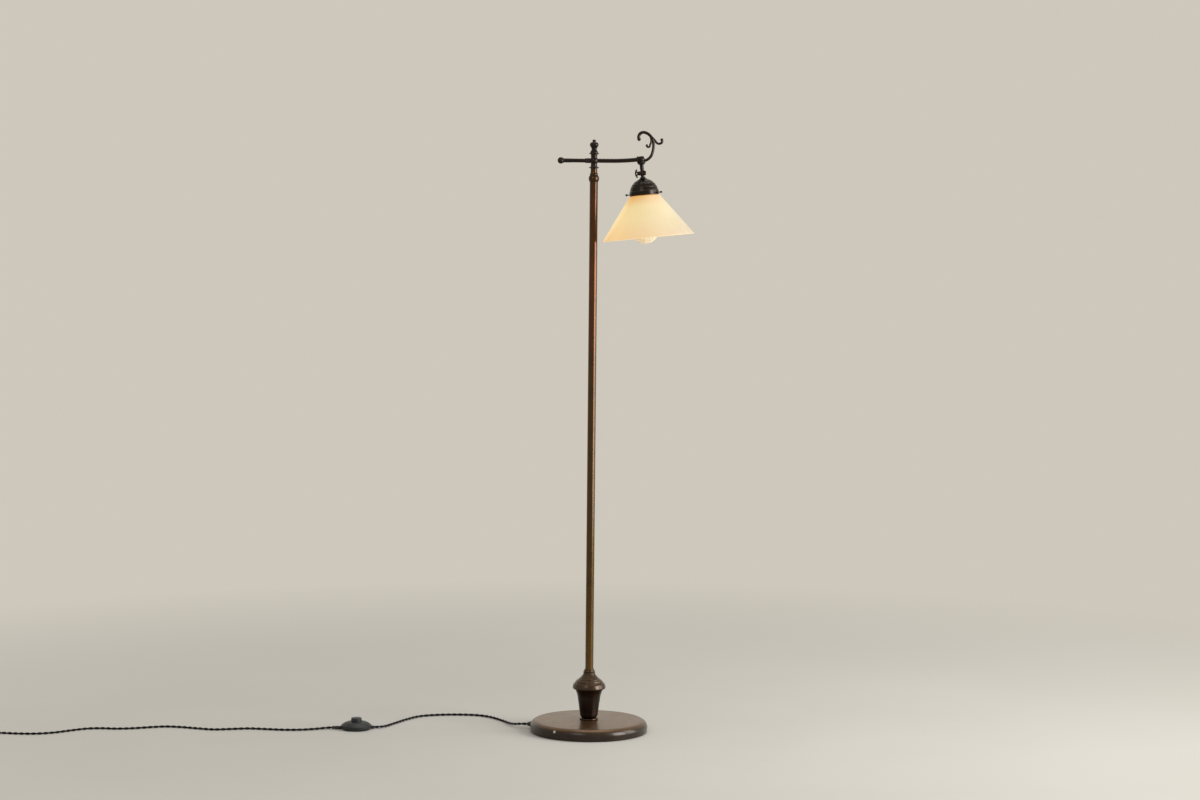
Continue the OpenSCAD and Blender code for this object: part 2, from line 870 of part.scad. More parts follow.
module switch_base() {
  color(black)
    at_switch()
      difference() {
        rotate_extrude()
          polygon(concat(
            [[0, 0], [switch_foot_r, 0]],
            oval(switch_foot_r, switch_split, 4, switch_split - 0.6, -78, 0, 6),
            [[0, switch_split]]
          ));
        translate([0, 0, switch_wall])
          cylinder(r = switch_foot_r - switch_wall - 1, h = switch_h);
        cord_holes(sleeve_r + run_gap);
        for (x = [-1, 1])
          translate([0, x * screw_reach, -1])
            cylinder(r = screw_head_r + 0.1, h = switch_h);
      }
}

module switch_cover() {
  dome_r = button_r + 3;
  color(black)
    at_switch()
      difference() {
        rotate_extrude()
          polygon(concat(
            [[0, switch_split + seat_gap], [switch_r, switch_split + seat_gap],
              [switch_r, switch_split + 1.2]],
            [for (i = [0:9]) let (u = 1 - i / 9)
              [dome_r + (switch_r - 0.6 - dome_r) * u,
                switch_h - (switch_h - switch_split - 1.8) * u * u]],
            [[0, switch_h]]
          ));
        difference() {
          rotate_extrude()
            polygon(concat(
              [[0, switch_split - 1], [switch_r - 3, switch_split - 1]],
              [for (i = [0:6]) let (u = 1 - i / 6)
                [dome_r + (switch_r - 4.6 - dome_r) * u,
                  switch_pocket_top - (switch_pocket_top - switch_split - 1) * u * u]],
              [[0, switch_pocket_top]]
            ));
          for (x = [-1, 1])
            translate([0, x * screw_reach, switch_split + seat_gap])
              cylinder(r = 3.4, h = switch_h);
        }
        cylinder(r = button_r + free_gap, h = switch_h + 1);
        cord_holes(sleeve_r + run_gap);
        for (x = [-1, 1])
          translate([0, x * screw_reach, 0])
            cylinder(r = screw_r + run_gap, h = switch_split + 4);
      }
}

module switch_block() {
  color("saddlebrown")
    at_switch()
      difference() {
        translate([0, 0, switch_wall])
          cylinder(r = block_r, h = block_h);
        translate([0, 0, switch_wall + 1])
          cylinder(r = 4.6, h = block_h);
      }
}

module switch_contacts() {
  color(brass)
    at_switch()
      for (a = [lead_in_angle, tail_out_angle])
        rotate([0, 0, a])
          translate([7, -2.5, switch_wall + block_h])
            cube([10, 5, 0.8]);
}

// The spring under the button, wound as one tube
module switch_spring() {
  turns = 4;
  wire_r = 0.4;
  coil_r = 3.4;
  low = switch_wall + 1 + wire_r + seat_gap;
  high = button_low + 2 - wire_r - seat_gap;
  n = turns * 8;
  color(steel)
    at_switch()
      even_tube([for (i = [0:n]) let (a = 360 * turns * i / n)
        [coil_r * cos(a), coil_r * sin(a), low + (high - low) * i / n]], wire_r, 6, [0, 0, 1]);
}

module switch_screws() {
  color(steel)
    at_switch()
      for (x = [-1, 1])
        translate([0, x * screw_reach, 0.4]) {
          cylinder(r = screw_r, h = switch_split + 3);
          cylinder(r = screw_head_r, h = switch_wall - 0.4);
        }
}

module switch_sleeves() {
  color(black)
    at_switch()
      for (a = [lead_in_angle, tail_out_angle])
        rotate([0, 0, a])
          translate([switch_r - sleeve_in, 0, switch_cord_z])
            rotate([0, 90, 0])
              difference() {
                union() {
                  cylinder(r = sleeve_r, h = sleeve_in);
                  translate([0, 0, sleeve_in])
                    cylinder(r1 = sleeve_r, r2 = cord_r + 0.4,
                      h = a == lead_in_angle ? lead_sleeve_l : sleeve_l);
                }
                translate([0, 0, -1])
                  cylinder(r = cord_r + 0.1, h = 2 * sleeve_l + 10);
              }
}

module switch_button() {
  color(black)
    at_switch()
      rotate_extrude()
        polygon(concat(
          [[0, button_low + 2], [button_r - 2, button_low + 2], [button_r - 2, button_low]],
          [[button_flange_r, button_low], [button_flange_r, switch_pocket_top - seat_gap],
            [button_r, switch_pocket_top - seat_gap]],
          arc(button_r - 1.5, switch_h + button_h - 1.5, 1.5, 0, 90, 4),
          [[0, switch_h + button_h]]
        ));
}

// ---- Cord ----

lead_start = bushing_end * [cos(exit_angle), sin(exit_angle), 0] + [0, 0, exit_z];
lead_end = [switch_x, switch_y, switch_cord_z]
  + (switch_r + lead_sleeve_l) * [cos(lead_in_angle), sin(lead_in_angle), 0];
tail_start = [switch_x, switch_y, switch_cord_z]
  + (switch_r + sleeve_l) * [cos(tail_out_angle), sin(tail_out_angle), 0];
coil_start = [coil_x, coil_y - coil_out_r, coil_z];
lead_points = smooth_route(concat([lead_start], lead_route, [lead_end]), ring_step);
tail_points = smooth_route(concat([tail_start], tail_route, [coil_start + [cord_d, 0, 0]]), ring_step);

module cord_to_switch() {
  color(black)
    even_tube(lead_points, cord_r, cord_sides, [0, 0, 1]);
}

module cord_to_coil() {
  color(black)
    even_tube(tail_points, cord_r, cord_sides, [0, 0, 1]);
}

// Radius and height of the coil after t turns: in on the lower layer, out on the upper one
function coil_radius(t) = coil_out_r - coil_step * (coil_mid_t - abs(t - coil_mid_t));

function coil_height(t) =
  let (s = (t - coil_mid_t) / coil_climb_t + 0.5)
  coil_z + coil_step * min(1, max(0, s));

function coil_point(t) =
  let (a = -90 - 360 * t)
  [coil_x + coil_radius(t) * cos(a), coil_y + coil_radius(t) * sin(a), coil_height(t)];

coil_n = coil_turns * coil_rings;
coil_end = coil_point(coil_turns);
coil_points = concat(
  [coil_start + [cord_d, 0, 0]],
  [for (i = [0:coil_n]) coil_point(i / coil_rings)],
  [coil_end + [0, cord_d, 0]],
  [for (i = [1:5]) let (s = i / 5, f = s * s * (3 - 2 * s))
    [coil_end[0], coil_end[1] + cord_d + plug_lead * s, coil_end[2] + (plug_z - coil_end[2]) * f]],
  [[coil_end[0], coil_end[1] + cord_d + plug_lead + cord_d, plug_z]]
);
plug_y = coil_end[1] + plug_lead + 2 * cord_d;

// Least distance between stretches of the coil that are not next to each other
coil_gap = min([for (i = [0:coil_n - 1]) for (j = [i + coil_rings / 2:coil_n])
  norm(coil_point(i / coil_rings) - coil_point(j / coil_rings))]) - cord_d;

module cord_coil() {
  echo(coil_gap = coil_gap);
  echo(cord_lengths = [route_length(lead_points), route_length(tail_points), route_length(coil_points)]);
  color(black)
    even_tube(coil_points, cord_r, coil_sides, [0, 0, 1]);
}

// A strap round all the turns on one side of the coil
module coil_tie() {
  tie_w = 8;
  tie_t = 0.7;
  in_r = coil_radius(coil_mid_t) - cord_r - 0.6;
  out_r = coil_out_r + cord_r + 0.4;
  high = coil_z + coil_step + cord_r + 0.3;
  color(black)
    translate([coil_x, coil_y, 0])
      rotate([0, 0, 20])
        difference() {
          translate([in_r - tie_t, -tie_w / 2, 0])
            cube([out_r - in_r + 2 * tie_t, tie_w, high + tie_t]);
          translate([in_r, -tie_w, tie_t])
            cube([out_r - in_r, 2 * tie_w, high - tie_t]);
        }
}

module at_plug() {
  translate([coil_end[0], plug_y, plug_z])
    rotate([-90, 0, 0])
      children();
}

module plug_body() {
  corner = 3;
  color(black)
    at_plug() {
      difference() {
        union() {
          cylinder(r1 = cord_r + 0.8, r2 = plug_h / 2 - 1.5, h = plug_sleeve_l);
          for (x = [-1, 1])
            translate([x * (plug_w - plug_h) / 2, 0, plug_sleeve_l])
              cylinder(d = plug_h, h = plug_l);
          translate([-(plug_w - plug_h) / 2, -plug_h / 2, plug_sleeve_l])
            cube([plug_w - plug_h, plug_h, plug_l]);
        }
        translate([0, 0, -1])
          cylinder(r = cord_r + 0.1, h = plug_sleeve_l - corner);
        for (x = [-1, 1])
          translate([x * blade_pitch / 2 - blade_t / 2 - 0.05, -blade_w / 2 - 0.05,
            plug_sleeve_l + plug_l - 12])
            cube([blade_t + 0.1, blade_w + 0.1, 20]);
      }
    }
}

module plug_blades() {
  color(brass)
    at_plug()
      for (x = [-1, 1])
        translate([x * blade_pitch / 2 - blade_t / 2, -blade_w / 2, plug_sleeve_l + plug_l - 12])
          cube([blade_t, blade_w, blade_l + 12]);
}

// ---- Crosspiece and finial ----

cross_ball_r = cross_ball_d / 2;
cross_disc_r = cross_disc_d / 2;
cross_disc_t = 2.6;
cross_waist_r = 6.9;

// Outline from the foot disc up to the ball, in heights below the arm's axis
function cross_outline(h, foot_r, foot_h) = concat(
  [[0, 0], [foot_r, 0], [foot_r, foot_h]],
  bead(cross_disc_r, foot_h, cross_disc_t, 6),
  [for (i = [0:6]) let (a = 90 * i / 6, s = h - cross_ball_r * 0.74 - foot_h - cross_disc_t)
    [cross_disc_r - 3 - (cross_disc_r - 3 - cross_waist_r) * sin(a),
      foot_h + cross_disc_t + s * (1 - cos(a))]],
  [[cross_waist_r, h], [0, h]]
);

module crosspiece() {
  color(dark_bronze)
    difference() {
      union() {
        translate([0, 0, arm_z])
          sphere(r = cross_ball_r);
        translate([0, 0, cross_z])
          rotate_extrude()
            polygon(cross_outline(cross_low_h, collar_neck_d / 2, 1.4));
        translate([0, 0, cross_top])
          mirror([0, 0, 1])
            rotate_extrude()
              polygon(cross_outline(cross_high_h, cross_disc_r - 2.4, 0.4));
        translate([0, 0, arm_z])
          rotate([0, -90, 0])
            rotate_extrude()
              polygon(concat(
                [[0, 0]],
                [[cross_boss_r - 0.2, 3], [cross_boss_r - 0.2, cross_boss_l - 7]],
                oval(cross_boss_r - 0.2, cross_boss_l - 6, 0.5, 1, -80, 80, 6),
                [[cross_boss_r - 0.2, cross_boss_l - 4.6], [cross_boss_r - 0.2, cross_boss_l - 2.1]],
                oval(cross_boss_r - 0.2, cross_boss_l - 1, 0.5, 1, -80, 80, 6),
                [[0, cross_boss_l]]
              ));
      }
      translate([-cross_boss_l - 1, 0, arm_z])
        rotate([0, 90, 0])
          cylinder(r = arm_bore_r, h = cross_boss_l + cross_ball_r + 2);
      translate([0, 0, cross_z - 1])
        cylinder(r = pipe_hole_r, h = post_top + 0.5 - cross_z + 1);
      translate([0, 0, cross_z])
        cylinder(r = pipe_bore / 2, h = cross_low_h);
      translate([0, 0, arm_z])
        cylinder(r = finial_shank_r + run_gap, h = cross_high_h + 1);
      translate([0, 0, post_groove_z])
        rotate([-90, 0, 0])
          cylinder(r = grub_d / 2, h = cross_ball_r);
    }
}

module swivel_grub_screw() {
  grub_in = pipe_r - 0.5;
  color(steel)
    translate([0, grub_in, post_groove_z])
      rotate([-90, 0, 0])
        difference() {
          cylinder(r = grub_d / 2 - 0.05, h = 3.2);
          translate([0, 0, 2.2])
            cylinder(r = 0.75, h = 2, $fn = 6);
        }
}

// Outline of the finial above its seat: bell, neck, urn and tip
function finial_outline() =
  let (
    foot_r = 8.4,
    neck_r = 5.6,
    neck_z = finial_h * 0.27,
    wide_z = finial_h * 0.6,
    tip_z = finial_h * 0.81,
    tip_r = 3.8,
    urn_r = finial_d / 2
  )
  concat(
    [[foot_r, 0]],
    sway(foot_r, 0.6, neck_r, neck_z, 10),
    sway(neck_r, neck_z, urn_r, wide_z, 12),
    oval(tip_r + 0.2, wide_z, urn_r - tip_r - 0.2, tip_z - wide_z, 8, 84, 10),
    [[tip_r, tip_z], [tip_r, finial_h - 1.6]],
    arc(tip_r - 1.6, finial_h - 1.6, 1.6, 0, 90, 5),
    [[0, finial_h]]
  );

module finial() {
  shank_low = arm_z + arm_r - arm_flat + 0.1 - cross_top - seat_gap;
  color(dark_bronze)
    translate([0, 0, cross_top + seat_gap])
      rotate_extrude()
        polygon(concat(
          [[0, shank_low], [finial_shank_r - 0.6, shank_low]],
          [[finial_shank_r, shank_low + 0.6], [finial_shank_r, 0]],
          finial_outline()
        ));
}

// ---- Arm ----

// The arm's hollow tube: straight, then one bend that runs on into the hub's sleeve
module arm_path() {
  translate([-arm_tube_back, 0, arm_z])
    rotate([0, 90, 0])
      ring(arm_r, arm_r - arm_t, arm_tube_back + arm_bend_start);
  translate([arm_bend_start, 0, arm_z + arm_bend_r])
    rotate([90, 0, 0])
      rotate([0, 0, -90])
        rotate_extrude(angle = arm_rise + arm_tail_turn)
          translate([arm_bend_r, 0])
            difference() {
              circle(r = arm_r);
              circle(r = arm_r - arm_t);
            }
}

module arm_tube() {
  slot_back = slide_out + pipe_bore / 2;
  slot_ahead = slide_in + pipe_bore / 2;
  flat_back = slide_out + finial_shank_r + 1;
  flat_ahead = slide_in + finial_shank_r + 1;
  color(dark_bronze)
    difference() {
      arm_path();
      translate([-slot_back, -arm_slot_w / 2, arm_z - arm_r - 1])
        cube([slot_back + slot_ahead, arm_slot_w, arm_r + 1]);
      translate([-flat_back, -arm_r, arm_z + arm_r - arm_flat])
        cube([flat_back + flat_ahead, arm_d, 2]);
    }
}

module arm_end_ball() {
  color(dark_bronze)
    translate([-arm_back, 0, arm_z])
      rotate([0, 90, 0])
        union() {
          sphere(r = arm_ball_d / 2);
          translate([0, 0, arm_ball_d / 2 - 3])
            cylinder(r = arm_r + 0.8, h = 2);
          cylinder(r = arm_r - arm_t - run_gap, h = arm_ball_d / 2 + 8);
        }
}

module arm_hub() {
  color(dark_bronze)
    at_head()
      difference() {
        union() {
          rotate_extrude()
            polygon(concat(
              [[0, 6.6], [4.4, 6.6], [6.4, 5.6]],
              hung([[hub_r - 0.8, -3.4], [hub_r, -1], [hub_r, 2.4], [hub_r - 1.2, 5], [hub_r - 1.4, 6.4]]),
              hung(bead(hub_r + 0.6, 6.8, 3.6, 6)),
              [[hang_d / 2 + 1.6, -hub_low], [0, -hub_low]]
            ));
          translate([-hub_sleeve_l, 0, 0])
            rotate([0, 90, 0])
              rotate_extrude()
                polygon(concat(
                  [[0, 0]],
                  bead(arm_r + 2.9, 0, 3, 6),
                  [[arm_r + 1.9, 3.2], [arm_r + 1.9, hub_sleeve_l], [0, hub_sleeve_l]]
                ));
        }
        translate([-hub_sleeve_l - 1, 0, 0])
          rotate([0, 90, 0])
            cylinder(r = arm_bore_r, h = hub_sleeve_l + 1);
        translate([0, 0, -hub_low - 1])
          cylinder(r = hang_d / 2 + run_gap, h = hub_low - 4);
        translate([0, 0, -hub_low - 1])
          cylinder(r = wire_bore_r, h = hub_low + 1);
      }
}

// The scroll's three bars, as flat paths: the crook starts at the hub, and the two thin
// curls start inside the crook where it forks
scroll_step = 2.2;
curl_step = 1.4;
scroll_main = arc_path([head_reach + 7, 0, head_z - 3.2], 15,
  [[1.1, 0], [23, 58], [21, 18], [26, 56], [7.4, 17], [24.6, 131]], scroll_step);
scroll_inner = arc_path([head_reach + 16.9, 0, head_z + 53.4], -48,
  [[21.7, -66], [4, 14], [10.5, -175]], curl_step);
scroll_branch = arc_path([head_reach + 16, 0, head_z + 53.9], -36,
  [[23.7, -19], [12.3, 93], [8, 85]], curl_step);

// One bar that changes thickness towards its end and ends in a ball
module scroll_bar(p, d0, d1, ball_d) {
  n = len(p);
  tube(p, [for (i = [0:n - 1]) d0 / 2 + (d1 - d0) / 2 * pow(i / (n - 1), 3)], 12, [0, 1, 0]);
  translate(p[n - 1])
    sphere(d = ball_d, $fn = 32);
}

module scroll() {
  color(dark_bronze)
    difference() {
      union() {
        scroll_bar(scroll_main, scroll_root_d, scroll_crook_d, scroll_ball_d);
        scroll_bar(scroll_inner, scroll_thin_d, scroll_thin_d - 0.2, scroll_thin_d + 0.4);
        scroll_bar(scroll_branch, scroll_thin_d, scroll_thin_d + 1.2, scroll_thin_d + 1.9);
      }
      at_head() {
        rotate_extrude()
          polygon(hung([[0, -8], [4.4, -6.7], [6.4, -5.7], [hub_r - 0.8, -3.5], [hub_r + 0.05, -1],
            [hub_r + 0.05, 2.4], [hub_r - 1.1, 5], [hub_r - 1.3, 12], [0, 12]]));
        translate([0, 0, -8.6])
          cylinder(r = hub_r + 0.65, h = 3.8 / 2);
      }
    }
}

// The cord inside the arm, from above the swivel post to the hanging stem
module arm_cord() {
  wire_r = 1.9;
  bend_r = 5;
  low = 20;
  tilt = [cos(arm_rise), 0, sin(arm_rise)];
  down = [sin(arm_rise), 0, -cos(arm_rise)];
  end = [head_reach, 0, head_z];
  bend = [for (i = [1:6]) let (a = arm_rise * i / 6)
    [arm_bend_start + arm_bend_r * sin(a), 0, arm_z + arm_bend_r * (1 - cos(a))]];
  turn = [for (i = [0:5]) let (a = 90 * i / 5)
    end + (bend_r * sin(a) - bend_r) * tilt + bend_r * (1 - cos(a)) * down];
  run = concat([[0, 0, arm_z], [arm_bend_start, 0, arm_z]], bend, turn,
    [end + (bend_r + 4) * down, end + low * down]);
  color(black)
    even_tube(run, wire_r, cord_sides, [0, 1, 0]);
}

// ---- Knuckle ----

// A lug: a flat round plate on the pivot, from x0 to x1
module lug_plate(x0, x1) {
  translate([x0, 0, -pivot_drop])
    rotate([0, 90, 0])
      cylinder(r = lug_r, h = x1 - x0);
}

module pivot_hole(r) {
  translate([-30, 0, -pivot_drop])
    rotate([0, 90, 0])
      cylinder(r = r, h = 60);
}

// How far the rim of each knuckle reaches past the other's lug, which turns in its hollow
saddle_lap = 1.2;
saddle_r = lug_r + free_gap + 0.1;

module hanging_knuckle() {
  stop = pivot_drop - lug_r - free_gap;
  color(dark_bronze)
    at_head()
      difference() {
        union() {
          translate([0, 0, -stop])
            cylinder(r = hang_d / 2, h = stop - hub_low + 5.9);
          lug_plate(-lug_gap - lug_t, -lug_gap);
          intersection() {
            translate([0, 0, -pivot_drop])
              cylinder(r = hang_d / 2, h = lug_r + 2);
            translate([-lug_gap - lug_t, -lug_r, -pivot_drop])
              cube([lug_t, 2 * lug_r, 2 * lug_r]);
          }
          intersection() {
            translate([0, 0, -stop - saddle_lap])
              cylinder(r = hang_d / 2, h = saddle_lap + 1);
            translate([-2 * lug_gap, -lug_r, -pivot_drop])
              cube([lug_t + 3 * lug_gap, 2 * lug_r, 2 * lug_r]);
          }
        }
        translate([-lug_gap, 0, -pivot_drop])
          rotate([0, 90, 0])
            cylinder(r = saddle_r, h = lug_t + 3 * lug_gap);
        translate([0, 0, -wire_bore_l])
          cylinder(r = wire_bore_r, h = wire_bore_l);
        pivot_hole(pivot_r + run_gap);
      }
}

module tilting_knuckle() {
  start = pivot_drop + lug_r + free_gap;
  color(dark_bronze)
    at_head()
      difference() {
        union() {
          translate([0, 0, -dome_top])
            cylinder(r1 = knuckle_foot_r, r2 = knuckle_foot_r - 1.5, h = dome_top - start);
          lug_plate(lug_gap, lug_gap + lug_t);
          intersection() {
            translate([0, 0, -start - 1])
              cylinder(r = hang_d / 2, h = lug_r + 1.6);
            translate([lug_gap, -lug_r, -start - 1])
              cube([lug_t, 2 * lug_r, 2 * lug_r]);
          }
          intersection() {
            translate([0, 0, -start - 1])
              cylinder(r = hang_d / 2, h = saddle_lap + 1);
            translate([-lug_t - lug_gap, -lug_r, -start - 1])
              cube([lug_t + 3 * lug_gap, 2 * lug_r, 2 * lug_r]);
          }
        }
        translate([-lug_t - 2 * lug_gap, 0, -pivot_drop])
          rotate([0, 90, 0])
            cylinder(r = saddle_r, h = lug_t + 3 * lug_gap);
        translate([0, 0, -dome_top - 1])
          cylinder(r = nipple_r + run_gap, h = dome_top - start);
        pivot_hole(pivot_r + run_gap);
      }
}

pivot_grip = lug_gap + lug_t + 0.2;

module pivot_screw() {
  head_t = 4.4;
  color(dark_bronze)
    at_head()
      translate([0, 0, -pivot_drop])
        rotate([0, 90, 0]) {
          translate([0, 0, -pivot_grip - pivot_tail_l])
            cylinder(r = pivot_r, h = 2 * pivot_grip + pivot_tail_l);
          translate([0, 0, pivot_grip])
            rotate_extrude()
              polygon(concat([[0, 0], [pivot_head_d / 2, 0], [pivot_head_d / 2, 1.2]],
                oval(0, 1.2, pivot_head_d / 2, head_t - 1.2, 8, 90, 7)));
        }
}

// A nut with a curved handle: two struts carry a bow whose tips point back at the knuckle
module wing_nut() {
  hub_l = 6.4;
  bow_r = 15;
  bow_angle = 33;
  bow_thick = 3.4;
  bow_x = 14.6 - pivot_grip - bow_r;
  strut_t = 2.6;
  color(brass)
    at_head()
      translate([-pivot_grip, 0, -pivot_drop])
        rotate([0, -90, 0])
          rotate([0, 0, wing_turn])
            difference() {
              union() {
                rotate_extrude()
                  polygon([[0, 0], [4.9, 0], [4.9, 1.2], [3.9, hub_l], [0, hub_l]]);
                translate([0, 0, bow_x])
                  rotate([90, 0, 0])
                    rotate([0, 0, 90 - bow_angle])
                      rotate_extrude(angle = 2 * bow_angle)
                        translate([bow_r, 0])
                          circle(d = bow_thick);
                for (side = [-1, 1]) {
                  translate([side * bow_r * sin(bow_angle), 0, bow_x + bow_r * cos(bow_angle)])
                    sphere(d = bow_thick + 0.4);
                  translate([side * 3.6, 0, hub_l + 1.4])
                    rotate([0, side * 28, 0])
                      cube([2.4, strut_t, 6.4], center = true);
                }
              }
              translate([0, 0, -1])
                cylinder(r = pivot_r + run_gap, h = hub_l + 2);
            }
}

// ---- Shade holder ----

module head_nipple() {
  color(steel)
    at_head()
      translate([0, 0, -nipple_low])
        ring(nipple_r, nipple_bore_r, nipple_low - nipple_top);
}

module dome_ring() {
  color(dark_bronze)
    at_head()
      translate([0, 0, -dome_top])
        difference() {
          rotate_extrude()
            polygon(concat(
              [[0, 0]],
              bead(dome_ring_d / 2, 0, 2, 6),
              [for (i = [0:5]) let (a = 90 * i / 5)
                [dome_ring_d / 2 - 1.6 - (dome_ring_d / 2 - 7.4) * sin(a), 2 + 3 * (1 - cos(a))]],
              [[0, 5]]
            ));
          translate([0, 0, -1])
            cylinder(r = knuckle_foot_r + run_gap, h = 10);
        }
}

dome_flat_r = dome_ring_d / 2 + 1.8;
dome_bulge = 4;
ridge_out = 0.45;
ridge_places = [11, 20, 29];
ridge_steps = 38;

// The ridges' height at one step down the dome: each rises and falls over four steps
function ridge_at(i) = ridge_out * max([for (p = ridge_places) 0.5 + 0.5 * cos(90 * min(2, abs(i - p)))]);

// Outline of the dome and band, top down: a shallow curve with three spun ridges
function holder_outline(t) =
  let (
    a = [dome_flat_r - t * 0.7, dome_top + t],
    b = [band_d / 2 - 1 - t, band_top],
    out = unit([b[1] - a[1], a[0] - b[0]])
  )
  concat(
    [[0, dome_top + t]],
    [for (i = [0:ridge_steps]) let (
      s = i / ridge_steps,
      ridge = t == 0 ? ridge_at(i) : 0
    ) a + (b - a) * s + (4 * dome_bulge * s * (1 - s) + ridge) * out],
    [[band_d / 2 - t, band_top + 0.8], [band_d / 2 - t, band_low - 1.6]],
    t == 0 ? [[band_d / 2 + 0.6, band_low - 1.2], [band_d / 2 + 0.6, band_low - 0.4]] : [],
    [[band_d / 2 - t, band_low]]
  );

module shade_holder() {
  color(dark_bronze)
    at_head()
      difference() {
        rotate_extrude()
          difference() {
            polygon(hung(concat(holder_outline(0), [[0, band_low]])));
            polygon(hung(concat(holder_outline(holder_t), [[band_d / 2 - holder_t, band_low + 1],
              [0, band_low + 1]])));
          }
        translate([0, 0, -dome_top - 2])
          cylinder(r = nipple_r + run_gap, h = 4);
        for (k = [0:2])
          at_thumbscrew(k)
            cylinder(r = thumb_r + run_gap, h = 60);
      }
}

// Places its children on one thumbscrew's axis, with +Z pointing out from the shade's axis
module at_thumbscrew(k) {
  translate([0, 0, -thumb_drop])
    rotate([0, 0, thumb_angle + 120 * k])
      rotate([0, 90, 0])
        children();
}

module thumbscrew(k) {
  knob_l = 4.6;
  start = fitter_d / 2 + free_gap;
  stop = thumb_reach - knob_l / 2;
  color(dark_bronze)
    at_head()
      at_thumbscrew(k)
        union() {
          translate([0, 0, start])
            cylinder(r = thumb_r, h = stop - start + 1);
          translate([0, 0, stop])
            rotate_extrude()
              polygon(concat(
                [[0, 0], [thumb_knob_d / 2 - 0.8, 0]],
                oval(thumb_knob_d / 2 - 0.8, knob_l / 2, 0.8, knob_l / 2, -60, 60, 6),
                [[thumb_knob_d / 2 - 0.8, knob_l], [0, knob_l]]
              ));
        }
}

module thumbscrew_1() {
  thumbscrew(0);
}

module thumbscrew_2() {
  thumbscrew(1);
}

module thumbscrew_3() {
  thumbscrew(2);
}

module shade() {
  neck_r = fitter_d / 2;
  lip_r = fitter_lip_d / 2;
  shoulder_r = shade_shoulder_d / 2;
  rim_r = shade_d / 2;
  slope = atan2(rim_drop - shoulder_drop - 2, rim_r - shoulder_r);
  off_r = glass_t * sin(slope);
  off_z = glass_t * cos(slope);
  color(opal, 0.9)
    at_head()
      rotate_extrude()
        polygon(hung(concat(
          [[neck_r - glass_t, fitter_lip_low - fitter_lip_h]],
          bead(lip_r, fitter_lip_low - fitter_lip_h, fitter_lip_h, 6),
          [[neck_r, fitter_lip_low], [neck_r, shoulder_drop - 1.4]],
          [[neck_r + 0.5, shoulder_drop - 0.3], [neck_r + 1.6, shoulder_drop]],
          [[shoulder_r - 2, shoulder_drop + 0.5], [shoulder_r - 0.7, shoulder_drop + 1],
            [shoulder_r, shoulder_drop + 2]],
          [[rim_r, rim_drop - 1]],
          [[rim_r - 0.3, rim_drop - 0.2], [rim_r - 1.2, rim_drop], [rim_r - off_r + 0.4, rim_drop - 0.2]],
          [[rim_r - off_r, rim_drop - 1 + off_z * 0.6]],
          [[shoulder_r - off_r, shoulder_drop + 2 + off_z]],
          [[shoulder_r - off_r - 1, shoulder_drop + 1 + off_z],
            [neck_r - glass_t + 1.4, shoulder_drop + off_z],
            [neck_r - glass_t, shoulder_drop - 1]]
        )));
}

// ---- Lampholder and bulb ----

module dome_nut() {
  color(steel)
    at_head()
      translate([0, 0, -dome_top - holder_t - dome_nut_t])
        hex_nut(dome_nut_af, dome_nut_t, nipple_r + run_gap);
}

module socket_cap() {
  color(brass)
    at_lampholder()
      rotate_extrude()
        polygon(hung(concat(
          [[nipple_r + wire_gap, socket_top], [6.4, socket_top], [6.4, socket_top + 3]],
          oval(6.4, socket_top + socket_cap_h, socket_r - 6.4, socket_cap_h - 3, -90, 0, 8),
          [[socket_r - 1, socket_top + socket_cap_h]],
          oval(6.4, socket_top + socket_cap_h, socket_r - 7.4, socket_cap_h - 4, 0, -90, 8),
          [[nipple_r + wire_gap, socket_top + 4]]
        )));
}

module socket_shell() {
  color(brass)
    at_lampholder()
      rotate_extrude()
        polygon(hung(concat(
          [[socket_r - 1, socket_shell_top]],
          [[socket_r, socket_shell_top]],
          bead(socket_r + 0.7, socket_shell_top + 5, 2.4, 6),
          bead(socket_r + 0.5, socket_shell_top + socket_shell_l - 3, 2.4, 6),
          [[socket_r, socket_shell_top + socket_shell_l]],
          [[socket_r - 1, socket_shell_top + socket_shell_l]]
        )));
}

module socket_insulator() {
  color("ivory")
    at_lampholder()
      rotate_extrude()
        polygon(hung([
          [0, socket_shell_top + 2],
          [socket_r - 1.1, socket_shell_top + 2],
          [socket_r - 1.1, socket_shell_top + socket_shell_l - 2],
          [socket_r - 2.6, socket_shell_top + socket_shell_l - 2],
          [socket_r - 2.6, screw_seat],
          [0, screw_seat]
        ]));
}

module socket_screw_shell() {
  color(brass)
    at_lampholder()
      translate([0, 0, -screw_seat]) {
        translate([0, 0, -18])
          ring(socket_r - 2.7, bulb_cap_d / 2 + 0.5, 18);
        translate([-2, -3, -2.6])
          cube([4, 6, 2.6]);
      }
}

module socket_leads() {
  color(brass)
    at_head()
      for (y = [-1, 1])
        translate([0, y * 1.1, -nipple_low - 4])
          cylinder(r = 0.9, h = nipple_low + 4 - dome_top + 4, $fn = 24);
}

bulb_cap_l = 25;
glass_foot = bulb_tip - bulb_l + bulb_cap_l + seat_gap;

module bulb_cap() {
  thread_pitch = 3.6;
  r = bulb_cap_d / 2;
  top = bulb_tip - bulb_l;
  color(brass)
    at_lampholder()
      rotate_extrude()
        polygon(hung(concat(
          [[0, top], [4.6, top], [4.8, top + 1.2], [r - 3, top + 3]],
          [for (k = [0:4]) for (p = bead(r, top + 4 + thread_pitch * k, thread_pitch, 6)) p],
          [[r - 0.6, top + bulb_cap_l], [r - 2.4, top + bulb_cap_l], [r - 2.4, top + 4.6],
            [0, top + 2.4]]
        )));
}

